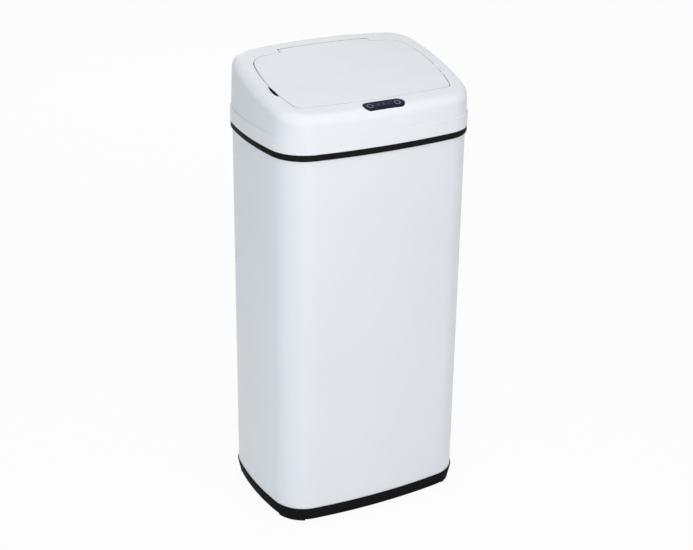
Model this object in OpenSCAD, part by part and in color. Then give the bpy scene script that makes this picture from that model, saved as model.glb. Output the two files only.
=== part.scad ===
// Motorised touch-free waste bin: bowed steel body, bag ring, and a lid unit with a geared flap.
// Millimetres, +Z up, front towards -Y. The origin is on the floor, in the middle of the footprint.

/* [Body] */
// Width of the steel body over its bowed ends
body_w = 330; // [310:1:350]
// Depth of the steel body over its bowed front and back
body_d = 243; // [232:1:256]
// How far the front and the back bow outwards in the middle
front_bow = 14.8; // [12:0.2:17]
// How far the two ends bow outwards in the middle
end_bow = 16.3; // [13:0.2:18]
// Radius of the upright corners
corner_r = 53; // [48:1:58]
// Height of the upper edge of the steel
body_top = 610; // [540:1:680]
// Thickness of the steel sheet
sheet_t = 0.8; // [0.6:0.1:1.1]
// Height of the folded hem inside the upper edge
hem_h = 9; // [6:1:14]
// Thickness of the folded hem
hem_t = 1.8; // [1.4:0.1:2.1]
// Width of the lap seam down the back
seam_w = 8; // [5:1:12]

/* [Base] */
// Height of the lip that covers the lower edge of the steel
base_h = 24; // [20:1:30]
// How far the lip stands proud of the steel
base_lip = 1.7; // [1:0.1:2.4]
// How far the skirt tapers in towards the floor
base_taper = 3.9; // [3:0.1:5]
// Clear height under the skirt
skirt_gap = 4; // [3:0.5:6]
// Height of the inner rim that the steel is slipped over
rim_h = 42; // [34:1:60]
// Wall of the base moulding
base_wall = 2.4; // [2:0.1:3]
// Distance between the ribs under the floor plate
rib_pitch = 40; // [32:1:60]
// Radius of the corner feet
foot_r = 24; // [20:1:28]
// Radius of the rubber pads
pad_r = 17; // [12:1:18]
// Thickness of the rubber pads
pad_t = 1.5; // [1:0.1:2]

/* [Bag ring] */
// How far the bag ring stands proud of the steel
ring_proud = 2.8; // [2.2:0.1:3.4]
// Height of the visible band
band_h = 10; // [8:0.5:12]
// How far the band hangs down over the steel
band_lap = 3.5; // [2.5:0.1:5]
// Depth of the ring's inner skirt below the steel's edge
ring_skirt = 25; // [18:1:40]
// Wall of the bag ring
ring_wall = 2.2; // [1.8:0.1:2.8]

/* [Lid collar] */
// Height of the collar from the bag ring to the parting line
collar_h = 23.5; // [20:0.5:28]
// How far the collar stands proud of the steel
collar_proud = 3.1; // [2.9:0.1:3.6]
// Wall of the lid's mouldings
lid_wall = 2.5; // [2.2:0.1:2.8]
// Depth of the collar's skirt inside the bag ring
collar_skirt = 18; // [12:1:22]

/* [Lid cover] */
// Height of the sloping deck above the parting line, at the middle of the lid
deck_rise = 58; // [53:0.5:64]
// Slope of the deck, rising to the back
deck_slope = 12; // [11:0.2:13]
// How much lower the deck is at its ends than in the middle
deck_crown = 3; // [1:0.2:4]
// How much lower the deck is at its front and back than a straight slope
deck_crown_y = 1.1; // [0:0.1:2]
// Radius of the shoulder between deck and wall
shoulder_r = 14; // [12:0.5:16]
// How far the foot of the cover stands proud of the steel
cover_proud = 2; // [1.6:0.1:2.4]
// Draft of the cover's wall in degrees
cover_draft = 2; // [1:0.25:2.5]

/* [Flap] */
// Width of the cover beside the flap's opening
flap_side = 26; // [24:0.5:31]
// Depth of the cover in front of the flap's opening
flap_front_rim = 29.9; // [28.5:0.2:33]
// Depth of the cover behind the flap's opening
flap_back_rim = 41.2; // [39.5:0.2:43.5]
// Half the width of the tongue over the hinge
tongue_half_w = 77; // [70:1:82]
// Depth of the cover behind the tongue
tongue_back_rim = 31.5; // [30.5:0.1:33.5]
// Gap round the flap
flap_gap = 1.2; // [0.8:0.1:1.6]
// Thickness of the flap's outer skin
flap_skin = 2.5; // [2:0.1:3]
// Depth of the flap's rim below the deck
flap_rim = 8; // [7:0.5:9]
// Thickness of the flap's inner panel
liner_t = 2; // [1.6:0.1:2.4]

/* [Hinge] */
// Distance from the tongue's back edge forward to the hinge's axis
hinge_in = 6; // [5:0.25:7]
// Depth of the hinge's axis below the deck
hinge_depth = 7.2; // [7:0.1:7.4]
// Radius of the hinge shaft
shaft_r = 2; // [1.6:0.1:2.2]
// Radius of the trough that the tongue turns down into
trough_r = 10.8; // [10.5:0.1:11.5]
// Wall of the throat frame
frame_wall = 2; // [1.6:0.1:2.4]
// Width of the ledge under the flap, at the sides
ledge_side = 14; // [12:0.5:20]
// Width of the ledge under the flap, at the front
ledge_front = 7.6; // [6.5:0.1:11]

/* [Sensor window] */
// Length of the window
window_l = 68.6; // [64:0.2:72]
// Width of the window
window_w = 19.2; // [17:0.2:20]
// Distance from the front wall's middle back to the window's middle
window_in = 14.5; // [13.5:0.5:16]
// Distance of each button from the middle of the window
button_x = 22.4; // [20:0.2:24]
// Radius of the buttons
button_r = 5.4; // [4.5:0.1:6]
// Travel of the buttons
button_travel = 0.6; // [0.4:0.1:0.8]

/* [Gears] */
// Tooth module of the sector gear and the pinion that drives it
sector_module = 0.8; // [0.75:0.05:0.85]
// Teeth on the full circle of the sector gear
sector_teeth = 21; // [20:1:22]
// Tooth module of the second gear and its pinion
second_module = 0.7; // [0.65:0.05:0.7]
// Teeth of the second gear
second_teeth = 40; // [36:1:42]
// Tooth module of the first gear and the motor pinion
first_module = 0.5; // [0.45:0.05:0.55]
// Teeth of the first gear
first_teeth = 44; // [40:1:46]
// Teeth of each pinion
pinion_teeth = 12; // [12:1:13]
// Width of the gear wheels
gear_w = 2.4; // [2:0.1:2.6]
// Radius of the gear axles
axle_r = 1.25; // [1:0.05:1.5]
// Radius of the motor's can
motor_r = 12; // [11:0.5:12.5]
// Length of the motor's can
motor_l = 31; // [26:1:34]

/* [Batteries] */
// Radius of an AA cell
cell_r = 7.2; // [7:0.05:7.4]
// Length of an AA cell without its terminal
cell_l = 49.5; // [48:0.5:50.5]
// Height of the opening behind the battery door
bay_h = 38; // [36:1:40]
// Height of the battery door's middle above the parting line
bay_rise = 29; // [27:0.5:32]

/* [Hidden] */

// Clearance between pieces that lie side by side
fit = 0.3;
// Clearance of a shaft in its bearing
run = 0.06;
// Overlap that makes cuts clean
cut = 1;
big = 400;
$fn = 48;

// ---- the outline of the body: four long arcs and four corner arcs, tangent to each other

function bow_r(half_len, bow) = (half_len * half_len + bow * bow) / (2 * bow);

function corner_centre(c1, c2, r1, r2) =
    let (d = norm(c2 - c1))
    let (e = (c2 - c1) / d)
    let (m = (r1 * r1 - r2 * r2 + d * d) / (2 * d))
    let (h = sqrt(r1 * r1 - m * m))
    c1 + m * e + h * [e.y, -e.x];

function arc_steps(c, r, a0, a1, n, o) =
    [for (i = [0:n - 1]) let (a = a0 + (a1 - a0) * i / n) c + (r + o) * [cos(a), sin(a)]];

// One quarter, from the middle of the end round to the middle of the back, moved outwards by o
function quarter(hw, hd, bow_x, bow_y, r, o) =
    let (ry = bow_r(hw, bow_y), rx = bow_r(hd, bow_x))
    let (c1 = [0, hd - ry], c2 = [hw - rx, 0])
    let (cc = corner_centre(c1, c2, ry - r, rx - r))
    let (a2 = atan2(cc.y - c2.y, cc.x - c2.x), a1 = atan2(cc.y - c1.y, cc.x - c1.x))
    concat(arc_steps(c2, rx, 0, a2, 3, o), arc_steps(cc, r, a2, a1, 8, o),
           arc_steps(c1, ry, a1, 90, 4, o), [[0, hd + o]]);

// A closed loop from a back quarter and a front quarter, anticlockwise from +X
function close_loop(qb, qf) =
    let (n = len(qb) - 1)
    concat(qb, [for (i = [n - 1:-1:0]) [-qb[i].x, qb[i].y]], [for (i = [1:n]) [-qf[i].x, -qf[i].y]],
           [for (i = [n - 1:-1:1]) [qf[i].x, -qf[i].y]]);

function body_line(o) =
    let (q = quarter(body_w / 2, body_d / 2, end_bow, front_bow, corner_r, o))
    close_loop(q, q);

base_line = body_line(0);
outward = body_line(1) - base_line;
ring_n = len(base_line);

// ---- heights

floor_z = 12;
floor_t = 2.5;
steel_z = 18;
band_z = body_top - band_lap;
ring_top = band_z + band_h;
collar_z = ring_top;
part_z = ring_top + collar_h;
plate_z = collar_z + 2.5;
plate_top = plate_z + lid_wall;
cover_z = part_z + fit;
deck_h = part_z + deck_rise;
bay_z = part_z + bay_rise;
// A height above everything
sky = deck_h + body_d / 2;
// A length that reaches past what cuts it off
reach = 30;

// The battery box holds two rows of two cells, each with room for its terminals and springs
spring_room = 8.5;
box_w = 2 * (cell_l + spring_room);
box_margin = 2;
bay_w = box_w - 2 * box_margin;

// ---- places in plan that follow the body

flap_half_w = body_w / 2 - flap_side;
flap_front = body_d / 2 - flap_front_rim;
flap_back = body_d / 2 - flap_back_rim;
tongue_back = body_d / 2 - tongue_back_rim;
hinge_y = tongue_back - hinge_in;
throat_half_w = flap_half_w - ledge_side;
throat_front = flap_front - ledge_front;
window_y = body_d / 2 - window_in;

// ---- the deck: a sloping, slightly crowned surface

deck_k = tan(deck_slope);
crown_x = deck_crown / pow(body_w / 2, 2);
crown_y = deck_crown_y / pow(body_d / 2, 2);
function deck(x, y) = deck_h + deck_k * y - crown_x * x * x - crown_y * y * y;

hinge_z = deck(0, hinge_y) - hinge_depth;

// ---- general solids

module solid_2d(z0, z1) {
    translate([0, 0, z0]) linear_extrude(z1 - z0) children();
}

module body_plate(o) {
    polygon(body_line(o));
}

module body_ring_2d(o_out, o_in) {
    difference() {
        body_plate(o_out);
        body_plate(o_in);
    }
}

// Two rows of triangles between ring a and the ring b above it
function strip(a, b, n) =
    [for (j = [0:n - 1]) let (k = (j + 1) % n) each [[a + j, b + k, a + k], [a + j, b + j, b + k]]];

// A ring whose section is a closed list of [offset, height], outside going up
module section_ring(section) {
    lines = [for (p = section) [for (q = body_line(p[0])) [q.x, q.y, p[1]]]];
    m = len(section);
    polyhedron(points = [for (l = lines) each l],
               faces = [for (i = [0:m - 1]) each strip(i * ring_n, ((i + 1) % m) * ring_n, ring_n)]);
}

// A slab between two grids of points, each a list of nx + 1 columns of ny + 1 points
module grid_slab(upper, lower, nx, ny) {
    w = ny + 1;
    t = (nx + 1) * w;
    top = [for (i = [0:nx - 1]) for (j = [0:ny - 1]) let (a = i * w + j)
           each [[a, a + 1, a + w + 1], [a, a + w + 1, a + w]]];
    under = [for (f = top) [f[2] + t, f[1] + t, f[0] + t]];
    front = concat([for (i = [0:nx]) i * w], [for (i = [nx:-1:0]) t + i * w]);
    back = concat([for (i = [0:nx]) t + i * w + ny], [for (i = [nx:-1:0]) i * w + ny]);
    left = concat([for (j = [ny:-1:0]) j], [for (j = [0:ny]) t + j]);
    right = concat([for (j = [0:ny]) nx * w + j], [for (j = [ny:-1:0]) t + nx * w + j]);
    polyhedron(points = concat(upper, lower), faces = concat(top, under, [front, back, left, right]));
}

// The slab between two depths below the deck
module deck_slab(d0, d1) {
    nx = 12;
    ny = 8;
    hx = body_w / 2 + 4;
    hy = body_d / 2 + 4;
    xs = [for (i = [0:nx]) -hx + 2 * hx * i / nx];
    ys = [for (j = [0:ny]) -hy + 2 * hy * j / ny];
    grid_slab([for (x = xs) for (y = ys) [x, y, deck(x, y) - d0]],
              [for (x = xs) for (y = ys) [x, y, deck(x, y) - d1]], nx, ny);
}

// Everything under the cover's outer surface, or under the same surface moved in by a wall
shoulder_steps = [0, 22.5, 45, 67.5, 90];
cap_steps = [0.75, 0.45, 0.15];

function wall_offset(j) =
    let (p = base_line[j] + cover_proud * outward[j])
    wall_proud(deck(p.x, p.y) - shoulder_r);

function shoulder_ring(t, inset) =
    [for (j = [0:ring_n - 1])
     let (p = base_line[j] + (wall_offset(j) - inset - (shoulder_r - inset) * (1 - cos(t))) * outward[j])
     [p.x, p.y, deck(p.x, p.y) - inset - (shoulder_r - inset) * (1 - sin(t))]];

module under_cover(inset, z0) {
    foot = [for (p = base_line + (cover_proud - inset) * outward) [p.x, p.y, z0]];
    edge = shoulder_ring(90, inset);
    cap = [for (s = cap_steps) for (p = edge) [p.x * s, p.y * s, deck(p.x * s, p.y * s) - inset]];
    pts = concat(foot, [for (t = shoulder_steps) each shoulder_ring(t, inset)], cap,
                 [[0, 0, deck(0, 0) - inset]]);
    rings = 1 + len(shoulder_steps) + len(cap_steps);
    last = (rings - 1) * ring_n;
    walls = [for (i = [0:rings - 2]) each strip(i * ring_n, (i + 1) * ring_n, ring_n)];
    fan = [for (j = [0:ring_n - 1]) [last + (j + 1) % ring_n, last + j, rings * ring_n]];
    polyhedron(points = pts, faces = concat([[for (j = [0:ring_n - 1]) j]], walls, fan));
}

// The cover's wall at the middle of the front, between two depths below its surface
module front_patch(d0, d1) {
    steps = 2;
    columns = [for (j = [ring_n * 3 / 4 - steps:ring_n * 3 / 4 + steps]) j];
    rows = len(shoulder_steps);
    grid_slab(patch_points(columns, d0), patch_points(columns, d1), 2 * steps, rows);
}

function patch_points(columns, d) =
    [for (j = columns)
     let (edge = shoulder_ring(90, d)[j], s = cap_steps[0])
     each concat([for (t = shoulder_steps) shoulder_ring(t, d)[j]],
                 [[edge.x * s, edge.y * s, deck(edge.x * s, edge.y * s) - d]])];

// A ring with the cover's drafted wall between two heights
module wall_ring(z0, z1, wall) {
    section_ring([[wall_proud(z0) - wall, z0], [wall_proud(z0), z0], [wall_proud(z1), z1],
                  [wall_proud(z1) - wall, z1]]);
}

function wall_proud(z) = cover_proud - (z - cover_z) * tan(cover_draft);

// ---- the flap's outline, with its tongue over the hinge

flap_mid_y = (flap_back - flap_front) / 2;
flap_end_bow_front = 13.8;
flap_end_bow_back = 14.7;
flap_long_bow = 9;
flap_front_corner = 11;
flap_back_corner = 31;
tongue_corner = 2;
gap_half = flap_gap / 2;
// Where the opening's back edge meets the tongue
back_arc_r = bow_r(flap_half_w, flap_long_bow);
rear_edge_y = flap_back - back_arc_r + sqrt(back_arc_r * back_arc_r - tongue_half_w * tongue_half_w);

function flap_line(o) =
    let (qb = quarter(flap_half_w, flap_back - flap_mid_y, flap_end_bow_back, flap_long_bow,
                      flap_back_corner, o))
    let (qf = quarter(flap_half_w, flap_front + flap_mid_y, flap_end_bow_front, flap_long_bow,
                      flap_front_corner, o))
    [for (p = close_loop(qb, qf)) p + [0, flap_mid_y]];

module tongue_2d(o) {
    offset(tongue_corner) offset(-tongue_corner) intersection() {
        translate([-tongue_half_w - o, 0]) square([2 * (tongue_half_w + o), big]);
        translate([0, tongue_back + o - back_arc_r]) circle(back_arc_r, $fn = 360);
    }
}

module flap_2d(o) {
    polygon(flap_line(o));
    tongue_2d(o);
}

scoop_l = 30.5;
scoop_d = 8;
scoop_y = -28;
scoop_r = (scoop_l * scoop_l / 4 + scoop_d * scoop_d) / (2 * scoop_d);
scoop_x = flap_half_w + scoop_d - scoop_r;

// ---- the body

module body_shell() {
    color("whitesmoke") {
        solid_2d(steel_z, body_top) body_ring_2d(0, -sheet_t);
        solid_2d(body_top - hem_h, body_top) body_ring_2d(-sheet_t / 2, -hem_t);
        solid_2d(base_h + fit, band_z - fit) intersection() {
            body_ring_2d(sheet_t, -sheet_t / 2);
            translate([-seam_w / 2, 0]) square([seam_w, big]);
        }
    }
}

// The feet stand a little outside the corner arcs' centres
foot_shift = 6;
foot_x = body_w / 2 - corner_r;
foot_y = body_d / 2 - corner_r;

module at_feet() {
    for (sx = [-1, 1])
        for (sy = [-1, 1])
            translate([sx * (foot_x + foot_shift), sy * (foot_y + foot_shift), 0]) children();
}

module base_tray() {
    groove = sheet_t + 2 * fit;
    lip_in = fit;
    rim_o = lip_in - groove;
    floor_mid = floor_z + floor_t / 2;
    color([0.1, 0.1, 0.11]) difference() {
        union() {
            section_ring([[-base_wall - base_taper + base_lip, skirt_gap],
                          [base_lip - base_taper, skirt_gap],
                          [base_lip - 0.3, base_h - 3],
                          [base_lip, base_h - 1.2],
                          [base_lip - 0.6, base_h],
                          [lip_in, base_h],
                          [lip_in, steel_z],
                          [rim_o, steel_z],
                          [rim_o, rim_h],
                          [rim_o - base_wall, rim_h],
                          [rim_o - base_wall, floor_mid]]);
            solid_2d(floor_z, floor_z + floor_t) body_plate(rim_o - base_wall / 2);
            intersection() {
                solid_2d(skirt_gap + 2, floor_mid) base_ribs_2d();
                solid_2d(0, floor_z + floor_t) body_plate(rim_o - base_wall * 3 / 4);
            }
            at_feet() solid_2d(pad_t, floor_mid) circle(foot_r);
        }
        at_feet() solid_2d(-cut, pad_t + 1) circle(pad_r + fit);
    }
}

// The outermost ribs stay this far from the skirt
rib_margin = 20;
rib_t = 1.6;

module base_ribs_2d() {
    nx = floor((body_w / 2 - rib_margin) / rib_pitch);
    ny = floor((body_d / 2 - rib_margin) / rib_pitch);
    for (i = [-nx:nx])
        translate([i * rib_pitch - rib_t / 2, -big / 2]) square([rib_t, big]);
    for (j = [-ny:ny])
        translate([-big / 2, j * rib_pitch - rib_t / 2]) square([big, rib_t]);
}

module foot_pads() {
    color([0.06, 0.06, 0.06]) at_feet() solid_2d(0, pad_t + 1) circle(pad_r);
}

// ---- the bag ring, the visible black band

ring_in = -hem_t - 0.5;

module bag_ring() {
    color([0.08, 0.08, 0.09])
        section_ring([[0.5, band_z],
                      [ring_proud - 1.2, band_z],
                      [ring_proud - 0.35, band_z + 1],
                      [ring_proud, band_z + 2.8],
                      [ring_proud, ring_top - 1.2],
                      [ring_proud - 0.5, ring_top],
                      [-1.2, ring_top],
                      [-1.2, body_top + ring_wall],
                      [ring_in - ring_wall, body_top + ring_wall],
                      [ring_in - ring_wall, body_top - ring_skirt],
                      [ring_in - 0.8, body_top - ring_skirt],
                      [ring_in, body_top - ring_skirt + 4],
                      [ring_in, body_top],
                      [0.5, body_top]]);
}

// ---- places of the screws that join collar and cover

// Where the screws stand, measured from the middle of the nearest end or long side
side_screw = [16, 52];
front_screw = [62, 17.5];
back_screw = [23, 68];
screw_spots = [for (s = [-1, 1])
               each [[s * (body_w / 2 - side_screw.x), -side_screw.y],
                     [s * front_screw.x, front_screw.y - body_d / 2],
                     [s * (body_w / 2 - back_screw.x), back_screw.y]]];
boss_r = 4;
screw_r = 1.1;
// Lengths of the screws that hold the cover and the sensor board
screw_l = 13;
board_screw_l = 8;

module at_cover_screws() {
    for (p = screw_spots)
        translate([p.x, p.y, 0]) children();
}

// A pan-head screw, head down, standing on the plane z = 0
module screw(shank_r, shank_l, head_r, head_h) {
    cylinder(h = shank_l, r = shank_r - 0.1);
    difference() {
        translate([0, 0, -head_h]) cylinder(h = head_h, r = head_r);
        translate([0, 0, -head_h - cut]) cylinder(h = head_h / 2 + cut, r = head_r * 0.55, $fn = 6);
    }
}

// ---- the lid unit's lower moulding

collar_in = collar_proud - lid_wall;
skirt_o = ring_in - ring_wall - 0.7;
throat_r = 20;
// Room for the gears and the trough between the throat and the hinge's axis
throat_room = 22;
throat_back = hinge_y - throat_room;

module throat_2d(o) {
    offset(throat_r + o) offset(-throat_r)
        translate([-throat_half_w, -throat_front]) square([2 * throat_half_w, throat_front + throat_back]);
}

// The control board stands on four posts behind the throat
board_l = 52;
board_w = 30;
board_lift = 7;
board_in = 4;
board_post_r = 2.5;
board_z = plate_top + board_lift;
board_x = 2 - throat_half_w;
board_y = throat_back + 6;
board_posts = [for (x = [board_x + board_in + 1, board_x + board_l - board_in - 1])
               for (y = [board_y + board_in, board_y + board_w - board_in]) [x, y]];

module lid_collar() {
    tongue_o = cover_proud - lid_wall - fit;
    color("white") {
        difference() {
            union() {
                section_ring([[collar_in, collar_z],
                              [collar_proud - 0.4, collar_z],
                              [collar_proud, collar_z + 0.8],
                              [collar_proud + 0.2, part_z - 1.6],
                              [collar_proud - 0.3, part_z - 0.4],
                              [collar_proud - 1, part_z],
                              [tongue_o, part_z],
                              [tongue_o, part_z + 5],
                              [tongue_o - 1.8, part_z + 5],
                              [tongue_o - 1.8, part_z - 3],
                              [collar_in, part_z - 6]]);
                solid_2d(plate_z, plate_top) body_plate(collar_in + 0.5);
                solid_2d(collar_z - collar_skirt, plate_z + cut) body_ring_2d(skirt_o, skirt_o - 2);
                for (p = board_posts)
                    translate([p.x, p.y, plate_top - cut])
                        cylinder(h = board_z - plate_top + cut, r = board_post_r);
            }
            solid_2d(collar_z - collar_skirt - cut, plate_top + cut) throat_2d(-1);
            at_cover_screws() solid_2d(plate_z - cut, plate_top + cut) circle(screw_r + 0.6);
        }
    }
}

// ---- the sensor window and what lies under it

window_end = window_l / 2 - window_w / 2;
lens_sink = 0.3;
flange_t = 1.2;
flange_w = 2;
pcb_t = 1.6;
// Fall of the window's surface from its middle to the front of a button
lens_fall = 1.6;
// Depth of the sensor board below the buttons
board_drop = 5;
sensor_board_l = 96;
sensor_board_w = 20;
sensor_post_x = sensor_board_l / 2 - 6;
sensor_post_r = 3;
board_hole_r = 1.4;
// The tact switches under the buttons, and the gaps above their bodies and stems
tact_w = 6;
tact_stem_r = 1.6;
tact_clear = 0.8;
tact_gap = 0.2;
// The infrared emitter and receiver, and the lamp
infrared_x = [-9, 0];
infrared_r = 2.5;
infrared_h = 3.5;
infrared_foot = 0.4;
lamp_x = 8;
lamp_r = 1.5;
lamp_h = 4.5;
// A height in the cover's wall, under every opening in its deck
wall_z = cover_z + 5;

module window_2d(o) {
    translate([0, -window_y]) {
        square([2 * window_end, window_w + 2 * o], center = true);
        for (s = [-1, 1])
            translate([s * window_end, 0]) circle(window_w / 2 + o);
    }
}

module sensor_window() {
    color([0.12, 0.1, 0.2]) difference() {
        union() {
            intersection() {
                front_patch(lens_sink, lid_wall + fit + flange_t);
                solid_2d(wall_z, deck_h) window_2d(-fit);
            }
            intersection() {
                front_patch(lid_wall + fit, lid_wall + fit + flange_t);
                solid_2d(wall_z, deck_h) window_2d(flange_w);
            }
        }
        at_buttons([-1, 1]) solid_2d(cover_z, deck_h) circle(button_r + button_play);
    }
}

module at_buttons(sides) {
    for (s = sides)
        translate([s * button_x, -window_y, 0]) children();
}

// The lowest point of the window's flange over a button
lens_under = deck(button_x, -window_y - button_r) - lid_wall - fit - flange_t - lens_fall;
button_rim = 1.2;
button_play = 0.2;
button_top = lens_under - fit;
button_foot = button_top - button_rim;
sensor_z = button_foot - board_drop;

module button(side) {
    color([0.16, 0.14, 0.26]) {
        difference() {
            at_buttons([side]) solid_2d(button_top - cut / 2, button_top + reach / 2) circle(button_r);
            front_patch(-shoulder_r, lens_sink);
        }
        at_buttons([side]) solid_2d(button_foot, button_top) circle(button_r + button_rim);
    }
}

module open_button() {
    button(-1);
}

module close_button() {
    button(1);
}

module sensor_board() {
    color([0.1, 0.35, 0.2]) difference() {
        translate([-sensor_board_l / 2, -window_y - sensor_board_w / 2, sensor_z])
            cube([sensor_board_l, sensor_board_w, pcb_t]);
        at_sensor_posts() solid_2d(sensor_z - cut, sensor_z + pcb_t + cut) circle(board_hole_r);
    }
}

module at_sensor_posts() {
    for (s = [-1, 1])
        translate([s * sensor_post_x, -window_y, 0]) children();
}

module button_switches() {
    top = sensor_z + pcb_t;
    color([0.2, 0.2, 0.22]) at_buttons([-1, 1]) {
        translate([-tact_w / 2, -tact_w / 2, top])
            cube([tact_w, tact_w, button_foot - button_travel - tact_clear - top]);
        solid_2d(top + cut, button_foot - button_travel - tact_gap) circle(tact_stem_r);
    }
}

module infrared_pair() {
    top = sensor_z + pcb_t;
    color([0.25, 0.15, 0.3])
        for (x = infrared_x)
            translate([x, -window_y, top]) {
                cylinder(h = infrared_h, r = infrared_r);
                translate([0, 0, infrared_h]) sphere(infrared_r);
                cylinder(h = 1, r = infrared_r + infrared_foot);
            }
}

module status_light() {
    top = sensor_z + pcb_t;
    color([0.7, 0.75, 0.9]) translate([lamp_x, -window_y, top]) {
        cylinder(h = lamp_h, r = lamp_r);
        translate([0, 0, lamp_h]) sphere(lamp_r);
    }
}

// ---- the openings in the back of the cover

function rear_wall(z) = body_d / 2 + wall_proud(z);

switch_x = bay_w / 2 + 24;
switch_z = bay_z;
switch_w = 13;
switch_h = 20;
switch_depth = 13;
// The switch's rim on the cover's wall, its clearance in the opening and its own wall
switch_rim = 1.5;
switch_rim_t = 1.2;
switch_lift = 0.15;
switch_play = 0.2;
switch_wall = 1.1;
switch_turn = -asin(switch_x / bow_r(body_w / 2, front_bow));
switch_y = rear_wall(switch_z) - bow_r(body_w / 2, front_bow) * (1 - cos(switch_turn));

// Local frame of the switch: +Y out of the wall, +Z up the wall
module at_switch() {
    translate([switch_x, switch_y, switch_z]) rotate([cover_draft, 0, switch_turn]) children();
}

module bay_box(g) {
    translate([-bay_w / 2 + g, body_d / 2 - reach / 2, bay_z - bay_h / 2 + g])
        cube([bay_w - 2 * g, reach, bay_h - 2 * g]);
}

module lid_cover() {
    color("white") difference() {
        union() {
            under_cover(0, cover_z);
            cover_bosses(cover_z + cut);
        }
        difference() {
            under_cover(lid_wall, cover_z - cut);
            cover_bosses(sky);
        }
        solid_2d(wall_z, sky) flap_2d(gap_half);
        intersection() {
            along_x(-tongue_half_w - gap_half, tongue_half_w + gap_half) circle(tongue_sweep + fit);
            deck_slab(lip_t, reach);
        }
        solid_2d(wall_z, sky) window_2d(0);
        at_scoops() solid_2d(wall_z, sky) circle(scoop_r);
        difference() {
            bay_box(0);
            door_lugs();
        }
        at_door_axis(-big / 8, big / 8) circle(door_pin_r + run);
        at_switch() translate([-switch_w / 2, -reach / 2, -switch_h / 2]) cube([switch_w, reach, switch_h]);
        at_cover_screws() solid_2d(plate_top - cut, plate_top + screw_l + 1) circle(screw_r);
        at_sensor_posts() solid_2d(sensor_z, sensor_z + board_screw_l + 1) circle(screw_r);
    }
}

// Lip that the tongue's relief leaves at the cover's outer face
lip_t = 0.6;

module cover_bosses(top) {
    at_cover_screws() solid_2d(plate_top, top) circle(boss_r);
    at_sensor_posts() solid_2d(sensor_z + pcb_t, max(top, sensor_z + pcb_t + 1)) circle(sensor_post_r);
}

module at_scoops() {
    for (s = [-1, 1])
        translate([s * scoop_x, scoop_y, 0]) children();
}

// ---- the throat frame: walls, ledge and hinge trough

ledge_depth = 12;
frame_gap = 0.5;
bracket_x = tongue_half_w + flap_gap;
bracket_t = 2.5;
bush_r = 3.3;
flange_r = 4.6;

module ledge_2d(o) {
    offset(3 + o) polygon(flap_line(0));
    at_scoops() circle(scoop_r + 3 + o);
}

// A sweep along X of a drawing in the YZ plane, centred on the hinge's axis
module along_x(x0, x1) {
    translate([x0, hinge_y, hinge_z]) rotate([90, 0, 90]) linear_extrude(x1 - x0) children();
}

// Clearance that the turning flap needs round the hinge's axis
function deck_over(x, y) = deck(x, y) - hinge_z;
tongue_sweep = norm([tongue_back - gap_half - hinge_y, deck_over(0, tongue_back)]);
edge_sweep = norm([hinge_y - rear_edge_y - gap_half, deck_over(tongue_half_w, rear_edge_y + gap_half)]);

// Height of the ledge's upper face over the hinge's axis, at the trough's front
ledge_over = deck_over(bracket_x, hinge_y - trough_r) - ledge_depth;

module trough_2d(o) {
    circle(trough_r + o);
    translate([-trough_r - o, 0]) square([2 * (trough_r + o), reach]);
}

// The trough's end plate that holds the bush, low enough in front for the flap's edge to turn over it
module bracket_2d() {
    intersection() {
        trough_2d(frame_wall);
        union() {
            circle(edge_sweep - fit);
            translate([-2 * trough_r, -2 * trough_r]) square([4 * trough_r, 2 * trough_r + ledge_over]);
            translate([0, -2 * trough_r]) square(4 * trough_r);
        }
    }
}

module throat_walls() {
    difference() {
        solid_2d(plate_top, sky) throat_2d(frame_wall);
        deck_slab(-reach, ledge_depth + frame_wall / 2);
    }
    difference() {
        intersection() {
            deck_slab(lid_wall + frame_gap, ledge_depth + frame_wall);
            solid_2d(plate_top, sky) ledge_2d(0);
        }
        intersection() {
            deck_slab(0, ledge_depth);
            solid_2d(plate_top, sky) ledge_2d(-frame_wall);
        }
    }
}

module throat_frame() {
    color([0.1, 0.1, 0.11]) difference() {
        intersection() {
            union() {
                difference() {
                    throat_walls();
                    solid_2d(plate_top - cut, sky) throat_2d(0);
                    along_x(-bracket_x, bracket_x) trough_2d(frame_wall / 2);
                }
                difference() {
                    along_x(-bracket_x - bracket_t, bracket_x + bracket_t) bracket_2d();
                    along_x(-bracket_x, bracket_x) trough_2d(0);
                }
            }
            deck_slab(lid_wall + frame_gap, sky - plate_top);
        }
        along_x(-big / 2, big / 2) circle(bush_r + run);
        for (s = [-1, 1])
            along_x(s * (bracket_x + bracket_t + 1) - 1, s * (bracket_x + bracket_t + 1) + 1)
                circle(flange_r + fit);
        along_x(sector_x - gear_gap, wheel_x) circle(sector_reach);
        along_x(wheel_x - gear_gap, outer_x) translate(second_c) circle(second_reach);
    }
}

module hinge_bushes() {
    color([0.3, 0.3, 0.32]) for (s = [-1, 1]) difference() {
        union() {
            x = bracket_x + bracket_t / 2;
            along_x(s * x - bracket_t / 2, s * x + bracket_t / 2) circle(bush_r);
            flange = bracket_x + bracket_t + 0.5;
            along_x(s * flange - 0.5, s * flange + 0.5) intersection() {
                circle(flange_r);
                translate([-flange_r, -flange_r]) square([2 * flange_r, flange_r + bush_r - fit]);
            }
        }
        along_x(-big / 2, big / 2) circle(shaft_r + run);
    }
}

buffer_r = 3;

module flap_buffers() {
    color([0.2, 0.2, 0.2]) intersection() {
        for (s = [-1, 1])
            for (y = [-0.7 * throat_front, 0.6 * throat_back])
                translate([s * (throat_half_w + buffer_r + 1), y, plate_top])
                    cylinder(h = deck_h - plate_top + shoulder_r, r = buffer_r);
        deck_slab(flap_rim + liner_t + fit, ledge_depth);
    }
}

// ---- the flap

// The rim stands in from the skin's edge, so that it clears the cover as the flap rises
rim_step = 1;
rim_t = 1.8;
// How far the liner's plate reaches up inside its rim
liner_lap = 0.4;
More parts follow.
